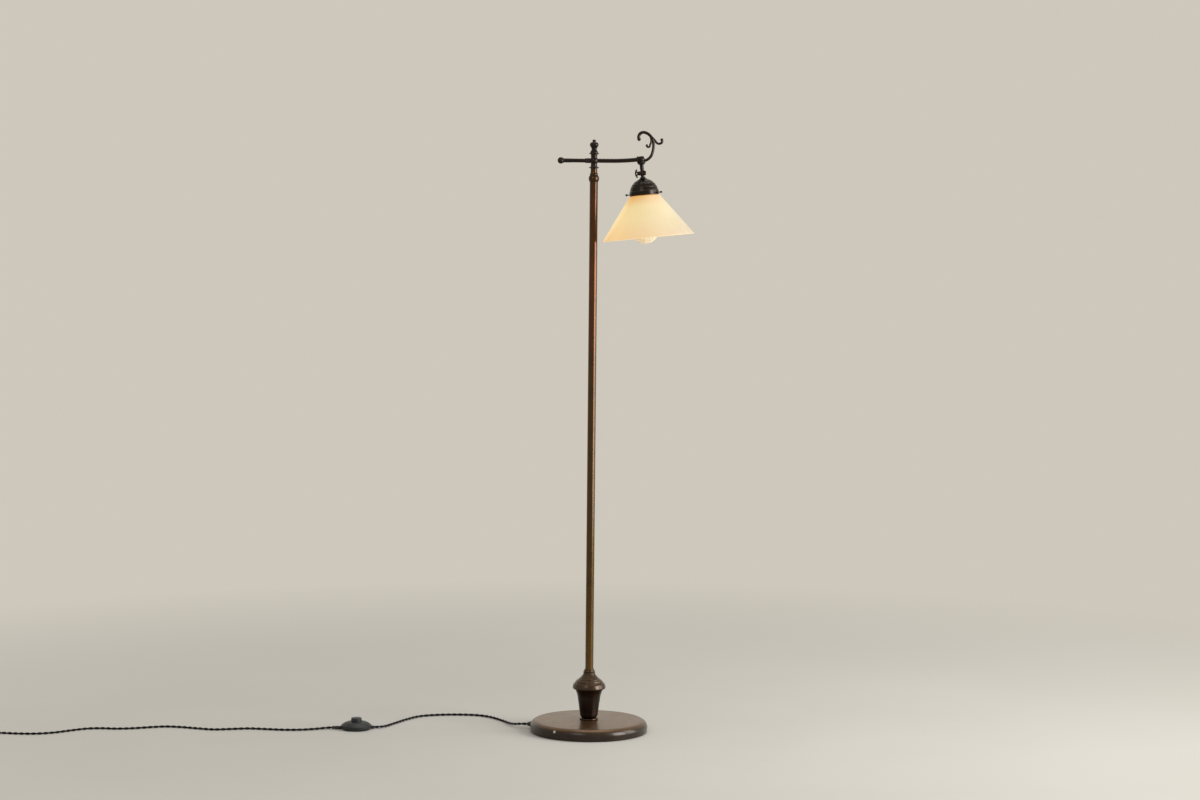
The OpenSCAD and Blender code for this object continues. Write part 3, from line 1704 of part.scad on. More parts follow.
// Outline of the bulb's glass: a round globe that narrows in a long curve to the cap
function bulb_outline(t) =
  let (
    globe_r = bulb_d / 2 - t,
    mid = bulb_tip - bulb_d / 2,
    low_a = 35,
    x1 = globe_r * cos(low_a),
    z1 = mid - globe_r * sin(low_a),
    x0 = bulb_cap_d / 2 - 1 - t,
    z0 = glass_foot
  )
  concat(
    oval(0, mid, globe_r, globe_r, 90, -low_a, 20),
    [for (i = [1:8]) let (s = i / 8)
      [x0 + (x1 - x0) * (1 - s) * (1 - s), z1 + (z0 - z1) * s]]
  );

module bulb_glass() {
  color([0.95, 0.95, 0.9], 0.35)
    at_lampholder()
      rotate_extrude()
        difference() {
          polygon(hung(concat(bulb_outline(0), [[0, glass_foot]])));
          polygon(hung(concat(bulb_outline(bulb_t), [[0, glass_foot - 1]])));
        }
}

// The glass mount, flared to meet the neck, with its support wires and the filament
module bulb_filament() {
  flare_r = bulb_cap_d / 2 - 1 - bulb_t - run_gap;
  mount_h = 34;
  spread = 13;
  fil_z = glass_foot + mount_h + 15;
  n = 24;
  color(brass)
    at_lampholder() {
      rotate_extrude()
        polygon(hung([[0, glass_foot], [flare_r, glass_foot], [flare_r, glass_foot + 1],
          [6, glass_foot + 5], [3.4, glass_foot + 12], [2.4, glass_foot + mount_h], [0, glass_foot + mount_h]]));
      for (side = [-1, 1])
        even_tube([[side * 1.4, 0, -glass_foot - mount_h + 3],
          [side * 4, 0, -glass_foot - mount_h - 4],
          [side * spread, 0, -fil_z]], 0.45, 6, [0, 1, 0]);
      even_tube([for (i = [0:n]) [spread * (2 * i / n - 1), 1.2 * cos(180 * i), -fil_z - 0.8]],
        0.5, 6, [0, 0, 1]);
    }
}

// ---- The lamp ----

base_felt();
base_weight();
base_cover();
base_washer();
base_nut();
threaded_pipe();
cord_bushing();
seat_ring();
urn_body();
urn_cap();
check_ring();
stem_tube();
stem_insert_low();
stem_insert_high();
stem_collar();
swivel_post();
swivel_washer();
stem_cord();
switch_base();
switch_cover();
switch_block();
switch_contacts();
switch_spring();
switch_screws();
switch_sleeves();
cord_to_switch();
cord_to_coil();
cord_coil();
coil_tie();
plug_body();
plug_blades();
switch_button();
crosspiece();
swivel_grub_screw();
finial();
arm_tube();
arm_end_ball();
arm_hub();
scroll();
arm_cord();
hanging_knuckle();
pivot_screw();
wing_nut();
tilting_knuckle();
head_nipple();
dome_ring();
shade_holder();
dome_nut();
socket_cap();
socket_shell();
socket_insulator();
socket_screw_shell();
socket_leads();
bulb_cap();
bulb_glass();
bulb_filament();
shade();
thumbscrew_1();
thumbscrew_2();
thumbscrew_3();
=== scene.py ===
"""Bridge floor lamp: materials, cords, bulb, floor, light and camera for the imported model.

Everything is in metres, in the model's own frame: the origin is on the floor under the
stem, +X points along the arm and +Z up.
"""

import json
import math

import bpy
from mathutils import Matrix, Vector


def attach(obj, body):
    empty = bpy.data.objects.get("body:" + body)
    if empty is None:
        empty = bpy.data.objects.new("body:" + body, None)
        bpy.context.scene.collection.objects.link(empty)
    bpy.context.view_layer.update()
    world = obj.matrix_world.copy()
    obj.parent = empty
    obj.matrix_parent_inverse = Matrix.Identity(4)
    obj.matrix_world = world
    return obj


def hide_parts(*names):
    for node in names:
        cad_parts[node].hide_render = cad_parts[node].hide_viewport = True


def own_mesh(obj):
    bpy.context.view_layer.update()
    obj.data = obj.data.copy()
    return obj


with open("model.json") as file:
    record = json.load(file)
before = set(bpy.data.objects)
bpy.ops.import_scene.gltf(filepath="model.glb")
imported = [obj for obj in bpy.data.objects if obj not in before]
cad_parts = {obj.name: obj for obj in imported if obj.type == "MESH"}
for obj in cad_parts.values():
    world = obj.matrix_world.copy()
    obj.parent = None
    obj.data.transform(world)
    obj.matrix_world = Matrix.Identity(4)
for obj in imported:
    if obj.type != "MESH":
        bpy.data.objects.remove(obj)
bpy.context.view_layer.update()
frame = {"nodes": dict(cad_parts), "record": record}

MM = 0.001
TURN = 2 * math.pi

# Sides of the section of a thin wire
WIRE_SIDES = 8

# The hanging head's own frame: its origin at the arm's end, its axis 6 degrees off the vertical
HEAD_AT = Vector((0.102, 0, 1.2546))
HEAD_TILT = math.radians(6)
HEAD_DOWN = Vector((math.sin(HEAD_TILT), 0, -math.cos(HEAD_TILT)))


# ---- Camera: the photograph's place and angle ----

CAMERA_AT = Vector((0.0179, -5.45, 1.0572))
CAMERA_PITCH = math.radians(-3.434)
CAMERA_ROLL = math.radians(0.552)
CAMERA_LENS = 75.0
CAMERA_SENSOR = 36.0
CAMERA_REACH = 200.0

camera = bpy.data.objects.new("camera", bpy.data.cameras.new("camera"))
camera.data.lens = CAMERA_LENS
camera.data.sensor_width = CAMERA_SENSOR
camera.data.sensor_fit = "HORIZONTAL"
camera.data.clip_end = CAMERA_REACH
camera.matrix_world = (
    Matrix.Translation(CAMERA_AT)
    @ Matrix.Rotation(math.pi / 2 + CAMERA_PITCH, 4, "X")
    @ Matrix.Rotation(CAMERA_ROLL, 4, "Z")
)
bpy.context.scene.collection.objects.link(camera)
bpy.context.scene.camera = camera


# ---- Material tools ----

# How wide the rubbed line along a sharp edge is
EDGE_R = 0.0012


def srgb(r, g, b):
    """A colour as it is seen on screen, 0 to 255, as the linear colour that nodes take."""
    def linear(v):
        v /= 255
        return v / 12.92 if v <= 0.04045 else ((v + 0.055) / 1.055) ** 2.4
    return (linear(r), linear(g), linear(b), 1.0)


class Tree:
    """A node tree, with a short call for each kind of node that this script adds."""

    def __init__(self, owner):
        owner.use_nodes = True
        self.nodes = owner.node_tree.nodes
        self.links = owner.node_tree.links

    def add(self, kind, inputs=None, output=0, **settings):
        """A node of that kind, with its inputs set or linked by index or name."""
        node = self.nodes.new(kind)
        for key, value in settings.items():
            setattr(node, key, value)
        for key, value in (inputs or {}).items():
            if isinstance(value, bpy.types.NodeSocket):
                self.links.new(value, node.inputs[key])
            else:
                node.inputs[key].default_value = value
        return node.outputs[output]

    def place(self, scale=(1, 1, 1)):
        """Coordinates on the object in metres, times scale."""
        coordinates = self.add("ShaderNodeTexCoord", output="Object")
        return self.add("ShaderNodeMapping", {"Vector": coordinates, "Scale": scale})

    def direction(self):
        """The surface's direction in the object's own frame, so the same in every pose."""
        return self.add("ShaderNodeTexCoord", output="Normal")

    def component(self, vector, axis):
        return self.add("ShaderNodeSeparateXYZ", {0: vector}, output=axis)

    def noise(self, scale, detail, roughness=0.5, at=None, warp=0.0):
        at = at or self.place()
        return self.add("ShaderNodeTexNoise", {"Vector": at, "Scale": scale, "Detail": detail,
                                               "Roughness": roughness, "Distortion": warp})

    def math(self, operation, a, b=0.0):
        return self.add("ShaderNodeMath", {0: a, 1: b}, operation=operation)

    def measure(self, operation, a, b=(0, 0, 0)):
        """The number that a vector operation gives, such as a distance."""
        return self.add("ShaderNodeVectorMath", {0: a, 1: b}, output=1, operation=operation)

    def centred(self, noise, width):
        """That noise moved to lie about zero, times width."""
        return self.math("MULTIPLY", self.math("SUBTRACT", noise, 0.5), width)

    def ramp(self, factor, stops):
        """A colour ramp; a stop is (place, colour), and a number stands for a grey."""
        node = self.nodes.new("ShaderNodeValToRGB")
        self.links.new(factor, node.inputs[0])
        elements = node.color_ramp.elements
        while len(elements) < len(stops):
            elements.new(0.5)
        for element, (place, colour) in zip(elements, stops):
            element.position = place
            element.color = colour if isinstance(colour, tuple) else (colour, colour, colour, 1)
        return node.outputs[0]

    def mix(self, factor, a, b):
        return self.add("ShaderNodeMix", {0: factor, 6: a, 7: b}, output=2, data_type="RGBA")


class Surface(Tree):
    """A Principled material, with its sockets set by name."""

    def __init__(self, name, **sockets):
        self.material = bpy.data.materials.new(name)
        super().__init__(self.material)
        self.shader = self.nodes["Principled BSDF"]
        for key, value in sockets.items():
            self.shader.inputs[key.replace("_", " ")].default_value = value

    def feed(self, socket, source):
        self.links.new(source, self.shader.inputs[socket])

    def rounded(self, radius=0.001):
        """The surface's direction with its edges and facets rounded over that radius."""
        return self.add("ShaderNodeBevel", {"Radius": radius}, samples=6)

    def worn_edges(self):
        """1 along sharp edges and 0 elsewhere."""
        flat = self.add("ShaderNodeNewGeometry", output="Normal")
        turn = self.measure("DOT_PRODUCT", self.rounded(EDGE_R), flat)
        return self.ramp(self.math("SUBTRACT", 1.0, turn), [(0.02, 0.0), (0.16, 1.0)])

    def bump(self, height, depth, strength=1.0, over=None):
        """Relief of that depth in metres, on the direction over where that is given."""
        inputs = {"Height": height, "Distance": depth, "Strength": strength}
        if over is not None:
            inputs["Normal"] = over
        self.feed("Normal", self.add("ShaderNodeBump", inputs))


# ---- Metals and plastics ----

RUBBED = srgb(150, 116, 78)
# Colour of dust with a painted reflection of the bright room, on faces turned up
DUST_AND_REFLECTION = srgb(136, 102, 68)
CHIP = srgb(206, 198, 182)
STAIN = srgb(34, 22, 10)

# How far the chip reaches round its middle, and how ragged its rim is
CHIP_REACH = 0.01
CHIP_RIM = 0.006

# The long tube's tones up its height, as shares of TUBE_TOP
TUBE_TOP = 1.25
TUBE_TONES = [(0.06, srgb(100, 72, 28)), (0.3, srgb(74, 53, 20)), (0.6, srgb(76, 50, 21)),
              (0.8, srgb(88, 51, 20)), (0.97, srgb(74, 42, 14))]


def under_dust_and_reflection(s, tone, dust_and_reflection):
    """The tone under dust and a painted reflection on what faces up while the lamp is at rest."""
    dust_and_reflection_film = s.math("MULTIPLY", s.ramp(s.component(s.direction(), 2), [(0.5, 0.0), (1.0, dust_and_reflection)]),
                  s.ramp(s.noise(30, 4, 0.6), [(0.25, 0.55), (0.75, 1.0)]))
    return s.mix(dust_and_reflection_film, tone, DUST_AND_REFLECTION)


def with_chip(s, tone, at):
    """The tone with one ragged pale chip at that place."""
    off = s.measure("DISTANCE", s.place(), at)
    ragged = s.math("ADD", off, s.centred(s.noise(420, 4, 0.7), CHIP_RIM))
    bare = s.ramp(s.math("DIVIDE", ragged, CHIP_REACH), [(0.32, 1.0), (0.40, 0.0)])
    return s.mix(bare, tone, CHIP)


def lacquered(name, dark, light, worn, wear=0.60, gloss=(0.27, 0.42), coat=0.3, dust_and_reflection=0.0,
              chip=None):
    """Brown lacquer over metal: cloudy tone, rubbed spots and edges, and uneven gloss."""
    s = Surface(name, Metallic=0.88, Coat_Weight=coat, Coat_Roughness=0.19)
    tone = s.ramp(s.noise(24, 4, 0.6, warp=0.6), [(0.3, dark), (0.7, light)])
    spots = s.ramp(s.noise(170, 6, 0.72), [(wear, 0.0), (wear + 0.12, 1.0)])
    patches = s.ramp(s.noise(9, 2), [(0.45, 0.0), (0.7, 0.8)])
    rubbed = s.math("MULTIPLY", spots, patches)
    uneven = s.ramp(s.noise(90, 4, 0.6), [(0.35, 0.1), (0.65, 0.9)])
    edges = s.math("MULTIPLY", s.worn_edges(), uneven)
    # Dust with a painted reflection lightens the faces turned up
    if dust_and_reflection:
        tone = under_dust_and_reflection(s, tone, dust_and_reflection)
    tone = s.mix(s.math("MAXIMUM", rubbed, edges), tone, worn)
    if chip:
        tone = with_chip(s, tone, chip)
    s.feed("Base Color", tone)
    s.feed("Roughness", s.ramp(s.noise(60, 5, 0.65), [(0.3, gloss[0]), (0.75, gloss[1])]))
    s.bump(s.noise(420, 4, 0.6), 0.0001, 0.4, over=s.rounded())
    return s


def brushed(name, tone, streak=(1, 1, 1), gloss=(0.2, 0.34), tarnish=STAIN, coat=0.0):
    """Bare metal with fine lines along one axis; a list of tones runs up the object."""
    s = Surface(name, Metallic=1.0, Coat_Weight=coat, Coat_Roughness=0.12)
    lines = s.noise(700, 5, 0.6, at=s.place(streak))
    if isinstance(tone, list):
        height = s.component(s.place(), 2)
        shifted = s.math("ADD", height, s.centred(s.noise(14, 4, 0.62, warp=0.4), 0.3))
        tone = s.ramp(s.math("DIVIDE", shifted, TUBE_TOP), tone)
    stained = s.mix(s.ramp(s.noise(48, 6, 0.7), [(0.5, 0.0), (0.85, 0.6)]), tone, tarnish)
    s.feed("Base Color", s.mix(s.ramp(lines, [(0.35, 0.0), (0.65, 0.16)]), stained, tarnish))
    s.feed("Roughness", s.ramp(lines, [(0.3, gloss[0]), (0.7, gloss[1])]))
    s.bump(lines, 0.00005, 0.35, over=s.rounded(0.0006))
    return s


def moulded(name, low, high, gloss=(0.38, 0.52)):
    """Moulded plastic or rubber with a fine grain."""
    s = Surface(name, Specular_IOR_Level=0.45)
    s.feed("Base Color", s.ramp(s.noise(35, 4), [(0.3, low), (0.75, high)]))
    s.feed("Roughness", s.ramp(s.noise(120, 5, 0.6), [(0.3, gloss[0]), (0.75, gloss[1])]))
    s.bump(s.noise(900, 3, 0.6), 0.00008, 0.6)
    return s


# ---- Iron, felt and cloth ----

# The cord's braid: threads round each strand, and the length of one turn of a thread
BRAID_THREADS = 5
BRAID_PITCH = 0.0042


def make_iron():
    s = Surface("iron", Metallic=0.7)
    s.feed("Base Color", s.ramp(s.noise(90, 6, 0.7), [(0.3, srgb(74, 74, 76)),
                                                      (0.8, srgb(104, 102, 100))]))
    s.feed("Roughness", s.ramp(s.noise(60, 5), [(0.3, 0.55), (0.7, 0.8)]))
    s.bump(s.noise(500, 6, 0.7), 0.0004)
    return s


def make_felt():
    s = Surface("felt", Roughness=0.95, Sheen_Weight=0.4, Sheen_Roughness=0.6)
    s.feed("Base Color", s.ramp(s.noise(600, 6, 0.75, warp=1.2), [(0.3, srgb(38, 34, 32)),
                                                                  (0.8, srgb(66, 60, 56))]))
    s.bump(s.noise(1500, 6, 0.8, warp=2.0), 0.0006)
    return s


def make_cloth():
    """Braided cloth on a strand: its UV runs along the strand in metres and once round it."""
    s = Surface("cloth_cord", Roughness=0.78, Specular_IOR_Level=0.2, Sheen_Weight=0.04,
                Sheen_Roughness=0.5)
    uv = s.add("ShaderNodeTexCoord", output="UV")
    a = s.math("MULTIPLY", s.component(uv, 0), TURN / BRAID_PITCH)
    b = s.math("MULTIPLY", s.component(uv, 1), TURN * BRAID_THREADS)
    one_way = s.math("SINE", s.math("ADD", a, b))
    weave = s.math("MULTIPLY", one_way, s.math("SINE", s.math("SUBTRACT", a, b)))
    thread = s.ramp(weave, [(0.0, 0.0), (0.6, 1.0)])
    s.feed("Base Color", s.mix(thread, srgb(7, 6, 5), srgb(25, 21, 17)))
    fuzz = s.math("MULTIPLY", s.noise(2600, 4, 0.7), 0.8)
    s.bump(s.math("ADD", weave, fuzz), 0.00025)
    return s


# ---- Glass and filament ----

# The shade's glass from its top to its rim, along the head's axis from HEAD_AT
SHADE_TOP = 0.0787
SHADE_RIM = 0.1707

# Where the outside's painted glow starts to turn from amber to pale, and over what width it does
PALE_FROM = HEAD_AT.x - 0.06
PALE_WIDTH = 0.16

# The painted glow from the shade's top to its rim, as linear colours: outside on the stem's side,
# outside on the far side, weaker and paler where the window lamps light it, and inside
AMBER_GLOW = [(0.0, (0.76, 0.31, 0.005, 1)), (0.25, (0.82, 0.60, 0.24, 1)),
              (0.55, (0.80, 0.58, 0.24, 1)), (0.8, (0.76, 0.50, 0.19, 1)),
              (1.0, (0.73, 0.45, 0.16, 1))]
PALE_GLOW = [(0.0, (0.26, 0.16, 0.04, 1)), (0.35, (0.31, 0.29, 0.14, 1)),
             (0.7, (0.33, 0.28, 0.14, 1)), (1.0, (0.37, 0.28, 0.15, 1))]
INSIDE_GLOW = [(0.0, (0.66, 0.38, 0.09, 1)), (0.3, (0.72, 0.52, 0.22, 1)),
               (0.7, (0.72, 0.54, 0.26, 1)), (1.0, (0.70, 0.49, 0.22, 1))]


def make_bulb_glass():
    """The lit bulb's glass: clear enough to see into, and glowing by itself."""
    s = Surface("clear_glass", Transmission_Weight=0.6, IOR=1.45, Base_Color=(0.90, 0.82, 0.67, 1),
                Emission_Strength=0.13, Emission_Color=(0.97, 0.80, 0.52, 1))
    s.feed("Roughness", s.ramp(s.noise(70, 4), [(0.4, 0.03), (0.8, 0.10)]))
    return s


def make_filament():
    s = Surface("filament", Emission_Strength=1.6, Emission_Color=(1.0, 0.80, 0.48, 1))
    s.feed("Base Color", s.ramp(s.noise(900, 3), [(0.3, srgb(250, 214, 150)),
                                                  (0.7, srgb(255, 232, 190))]))
    return s


def make_opal():
    """Cream opal glass lit from inside: amber by the holder and on one side, pale on the other."""
    s = Surface("opal_glass", Roughness=0.32, Coat_Weight=0.25, Coat_Roughness=0.2,
                Emission_Strength=1.0, Specular_IOR_Level=0.3)
    down = s.measure("DOT_PRODUCT", s.place(), HEAD_DOWN)
    below_top = s.math("SUBTRACT", down, HEAD_AT.dot(HEAD_DOWN) + SHADE_TOP)
    cloud = s.noise(20, 2, warp=0.6)
    level = s.math("ADD", s.math("DIVIDE", below_top, SHADE_RIM - SHADE_TOP),
                   s.centred(cloud, 0.08))
    # Painted light: amber glow on the stem's side, a weaker, paler one where the window lamps fall
    past = s.math("SUBTRACT", s.component(s.place(), 0), PALE_FROM)
    across = s.ramp(s.math("DIVIDE", past, PALE_WIDTH), [(0.0, 0.0), (1.0, 1.0)])
    outside = s.mix(across, s.ramp(level, AMBER_GLOW), s.ramp(level, PALE_GLOW))
    facing = s.measure("DOT_PRODUCT", s.direction(), HEAD_DOWN)
    glow = s.mix(s.ramp(facing, [(0.1, 0.0), (0.3, 1.0)]), outside, s.ramp(level, INSIDE_GLOW))
    s.feed("Emission Color", glow)
    s.feed("Base Color", s.ramp(cloud, [(0.3, (0.34, 0.28, 0.21, 1)),
                                        (0.7, (0.37, 0.31, 0.24, 1))]))
    s.bump(s.noise(60, 2), 0.0001, 0.2, over=s.rounded(0.0015))
    return s


# ---- Materials, by the record's slots ----

materials = {
    "bronze": lacquered("bronze", srgb(54, 38, 24), srgb(72, 53, 35), RUBBED, dust_and_reflection=0.5),
    "dark_bronze": lacquered("dark_bronze", srgb(20, 11, 5), srgb(32, 20, 10), srgb(96, 68, 40),
                             wear=0.68),
    "copper_tube": brushed("copper_tube", TUBE_TONES, streak=(1, 1, 0.03), gloss=(0.24, 0.34),
                           coat=0.4),
    "copper": brushed("copper", srgb(70, 48, 30), gloss=(0.22, 0.36), coat=0.2),
    "brass": brushed("brass", srgb(196, 164, 96), tarnish=srgb(96, 70, 34)),
    "steel": brushed("steel", srgb(178, 178, 180), tarnish=srgb(96, 94, 92)),
    "aluminium": brushed("aluminium", srgb(205, 205, 205), tarnish=srgb(140, 140, 140)),
    "black_plastic": moulded("black_plastic", srgb(20, 23, 24), srgb(29, 32, 33)),
    "rubber": moulded("rubber", srgb(24, 24, 24), srgb(34, 34, 34), gloss=(0.55, 0.7)),
    "insulator": moulded("insulator", srgb(212, 204, 184), srgb(226, 220, 204)),
    "iron": make_iron(),
    "felt": make_felt(),
    "cloth_cord": make_cloth(),
    "clear_glass": make_bulb_glass(),
    "opal_glass": make_opal(),
}

# The base's cover, the urn and its cap have the same lacquer, in lit and shaded copies: the urn
# is darker as painted shade under the cap's overhang, the cap lighter as a painted reflection
lit_and_shaded_lacquers = {
    "base_cover": lacquered("bronze_cover", srgb(30, 18, 9), srgb(45, 30, 16), RUBBED,
                            gloss=(0.36, 0.50), coat=0.6, dust_and_reflection=0.80,
                            chip=(-0.0745, -0.1055, 0.0185)),
    # Painted shade: darker tones for the urn under the cap's overhang
    "urn_body": lacquered("bronze_urn_painted_shade", srgb(28, 14, 7), srgb(42, 26, 15), srgb(110, 80, 50),
                          gloss=(0.34, 0.46), coat=0.15),
    # Painted reflection: lighter tones for the cap's top
    "urn_cap": lacquered("bronze_cap_painted_reflection", srgb(48, 32, 16), srgb(66, 47, 27), RUBBED,
                         gloss=(0.28, 0.42), coat=0.5, dust_and_reflection=0.3),
}

for part in frame["record"]["subparts"]:
    node = frame["nodes"][part["node"]]
    surface = lit_and_shaded_lacquers.get(part["node"], materials[part["material_slot"]])
    for place in node.material_slots:
        place.material = surface.material


# ---- Shape tools ----

def clamp(value):
    return min(1.0, max(0.0, value))


def polar(middle, radius, angle, z):
    """The point at that radius and angle round middle, at height z."""
    return Vector((middle[0] + radius * math.cos(angle), middle[1] + radius * math.sin(angle), z))


def smooth(points, step=0.002):
    """Points about every step along a smooth curve through the given ones."""
    points = [Vector(p) for p in points]
    out = []
    for i in range(len(points) - 1):
        a, b = points[max(i - 1, 0)], points[i]
        c, d = points[i + 1], points[min(i + 2, len(points) - 1)]
        count = max(1, round((c - b).length / step))
        for k in range(count):
            t = k / count
            out.append(0.5 * (2 * b + (c - a) * t + (2 * a - 5 * b + 4 * c - d) * t * t
                              + (3 * b - a - 3 * c + d) * t ** 3))
    return out + [points[-1]]


def add_mesh(name, vertices, faces, uvs=None, material=None):
    """A smooth mesh object; uvs has one pair for each corner of each face."""
    mesh = bpy.data.meshes.new(name)
    mesh.from_pydata([tuple(v) for v in vertices], [], faces)
    if uvs:
        layer = mesh.uv_layers.new(name="UVMap")
        layer.data.foreach_set("uv", [value for pair in uvs for value in pair])
    mesh.polygons.foreach_set("use_smooth", [True] * len(mesh.polygons))
    mesh.update()
    piece = bpy.data.objects.new(name, mesh)
    bpy.context.scene.collection.objects.link(piece)
    if material:
        mesh.materials.append(material)
    return piece


def sides_along(points):
    """Each point of a path with two steady directions across it."""
    out = []
    side = None
    for i, point in enumerate(points):
        t = (points[min(i + 1, len(points) - 1)] - points[max(i - 1, 0)]).normalized()
        side = side or t.cross(Vector((0, 0, 1)))
        side = (side - side.dot(t) * t).normalized()
        out.append((point, side, t.cross(side)))
    return out


def tube_parts(points, radius, sides, first):
    """Vertices, faces and UVs of a closed tube; its vertices are numbered from first."""
    vertices, faces, uvs, lengths = [], [], [], []
    along = 0.0
    for i, (point, side, rise) in enumerate(sides_along(points)):
        along += (point - points[i - 1]).length if i else 0
        lengths.append(along)
        for k in range(sides):
            a = TURN * k / sides
            vertices.append(point + radius * (math.cos(a) * side + math.sin(a) * rise))
    for i in range(len(points) - 1):
        for k in range(sides):
            a, b = first + i * sides + k, first + i * sides + (k + 1) % sides
            faces.append((a, b, b + sides, a + sides))
            u0, u1 = lengths[i], lengths[i + 1]
            v0, v1 = k / sides, (k + 1) / sides
            uvs += [(u0, v0), (u0, v1), (u1, v1), (u1, v0)]
    last = first + (len(points) - 1) * sides
    faces.append(tuple(first + k for k in reversed(range(sides))))
    faces.append(tuple(last + k for k in range(sides)))
    uvs += [(0, 0)] * (2 * sides)
    return vertices, faces, uvs


def loft(name, rings, material):
    """A closed smooth mesh through rings of the same number of points."""
    n = len(rings[0])
    faces = [(i * n + k, i * n + (k + 1) % n, (i + 1) * n + (k + 1) % n, (i + 1) * n + k)
             for i in range(len(rings) - 1) for k in range(n)]
    faces.append(tuple(reversed(range(n))))
    faces.append(tuple((len(rings) - 1) * n + k for k in range(n)))
    return add_mesh(name, [v for ring in rings for v in ring], faces, material=material)


# ---- Cords ----

CORD_D = 0.0056
TWIST = 0.026
STRAND_SIDES = 10

# The base's cord exit, the switch and the coil, as in the model
EXIT_ANGLE = math.radians(170)
EXIT_REACH = 0.1375
EXIT_Z = 0.010
SWITCH_AT = (-0.511, -0.005)
SWITCH_R = 0.0335
SWITCH_CORD_Z = 0.0044
LEAD_IN = math.radians(6)
LEAD_SLEEVE = 0.006
TAIL_OUT = math.radians(186)
TAIL_SLEEVE = 0.020
COIL_AT = (-1.345, -0.056)
COIL_Z = 0.0038
COIL_R = 0.040
COIL_STEP = 0.0063
COIL_TURNS = 5.25
COIL_RINGS = 24
PLUG_LEAD = 0.030
PLUG_LEAD_RINGS = 5
PLUG_Z = 0.0065

LEAD_ROUTE = [(x * MM, y * MM, z * MM) for x, y, z in (
    (-152, 27, 9.5), (-166, 42, 6.5), (-178, 68, 3.6), (-195, 102, 2.8),
    (-221, 139, 2.8), (-252, 160, 2.8), (-298, 165, 2.8), (-343, 159, 2.8),
    (-382, 140, 2.8), (-408, 102, 2.8), (-427, 64, 2.8), (-437, 43, 2.8),
    (-444, 27, 3), (-452, 13, 3.5), (-462, 3, 4.2),
)]
TAIL_ROUTE = [(x * MM, y * MM, z * MM) for x, y, z in (
    (-581, -12, 3.4), (-600, -20, 2.8), (-632, -31, 2.8), (-668, -33, 2.8),
    (-706, -27, 2.8), (-744, -22, 2.8), (-782, -30, 2.8), (-819, -37, 2.8),
    (-858, -26, 2.8), (-892, -14, 2.8), (-927, -9, 2.8), (-958, -17, 2.8),
    (-992, -31, 2.8), (-1030, -39, 2.8), (-1064, -36, 2.8), (-1096, -42, 2.8),
    (-1126, -64, 2.8), (-1158, -90, 2.8), (-1194, -104, 2.8), (-1234, -104, 2.8),
    (-1273, -98, 2.8), (-1312, -96, 3),
)]


def coil_point(t):
    """A point of the coil after t turns: in on the lower layer and out on the upper one."""
    middle = COIL_TURNS / 2
    radius = COIL_R - COIL_STEP * (middle - abs(t - middle))
    rise = clamp((t - middle) / 0.5 + 0.5)
    return polar(COIL_AT, radius, math.radians(-90 - 360 * t), COIL_Z + COIL_STEP * rise)


def plug_run_point(end, share):
    """A point of the straight run from the coil's end to the plug, which rises on its way."""
    lift = share * share * (3 - 2 * share)
    return Vector((end.x, end.y + CORD_D + PLUG_LEAD * share, end.z + (PLUG_Z - end.z) * lift))


def twisted_pair(name, path):
    """Two cloth-covered strands that wind round each other along the path."""
    vertices, faces, uvs = [], [], []
    for turn in (0, math.pi):
        strand = []
        along = 0.0
        previous = path[0]
        for point, side, rise in sides_along(path):
            along += (point - previous).length
            previous = point
            a = turn + TURN * along / TWIST
            strand.append(point + CORD_D / 4 * (math.cos(a) * side + math.sin(a) * rise))
        part = tube_parts(strand, CORD_D / 4, STRAND_SIDES, len(vertices))
        vertices += part[0]
        faces += part[1]
        uvs += part[2]
    return add_mesh(name, vertices, faces, uvs, materials["cloth_cord"].material)


lead_exit = polar((0, 0), EXIT_REACH, EXIT_ANGLE, EXIT_Z)
switch_entry = polar(SWITCH_AT, SWITCH_R + LEAD_SLEEVE, LEAD_IN, SWITCH_CORD_Z)
lead_path = smooth([lead_exit] + LEAD_ROUTE + [switch_entry])

mains_exit = polar(SWITCH_AT, SWITCH_R + TAIL_SLEEVE, TAIL_OUT, SWITCH_CORD_Z)
coil_start = Vector((COIL_AT[0] + CORD_D, COIL_AT[1] - COIL_R, COIL_Z))
coil_path = [coil_point(i / COIL_RINGS) for i in range(int(COIL_TURNS * COIL_RINGS) + 1)]
coil_end = coil_point(COIL_TURNS)
plug_run = [plug_run_point(coil_end, i / PLUG_LEAD_RINGS) for i in range(PLUG_LEAD_RINGS + 1)]
plug_run.append(Vector((coil_end.x, coil_end.y + 2 * CORD_D + PLUG_LEAD, PLUG_Z)))
mains_path = (smooth([mains_exit] + TAIL_ROUTE + [coil_start]) + smooth(coil_path)
              + smooth(plug_run))

lead_cord = twisted_pair("lead_cord", lead_path)
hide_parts("cord_to_switch")
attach(lead_cord, "stand")
mains_cord = twisted_pair("mains_cord", mains_path)
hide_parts("cord_to_coil", "cord_coil")
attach(mains_cord, "stand")


# ---- Spring under the switch's button ----

SPRING_R = 0.0034
SPRING_WIRE = 0.0004
SPRING_LOW = 0.0033
SPRING_HIGH = 0.0139
SPRING_TURNS = 6
SPRING_RINGS = 20

# The part of a turn that lies nearly flat at each end, and what a whole turn of it would rise
END_TURN = 0.8
END_RISE = 0.00085


def spring_point(t):
    """A point of the spring after t turns; its ends lie nearly flat."""
    share = clamp((t - END_TURN) / (SPRING_TURNS - 2 * END_TURN))
    flat = END_RISE * (min(t, END_TURN) + max(0.0, t - SPRING_TURNS + END_TURN))
    rise = SPRING_HIGH - SPRING_LOW - END_RISE * 2 * END_TURN
    return polar(SWITCH_AT, SPRING_R, TURN * t, SPRING_LOW + flat + rise * share)


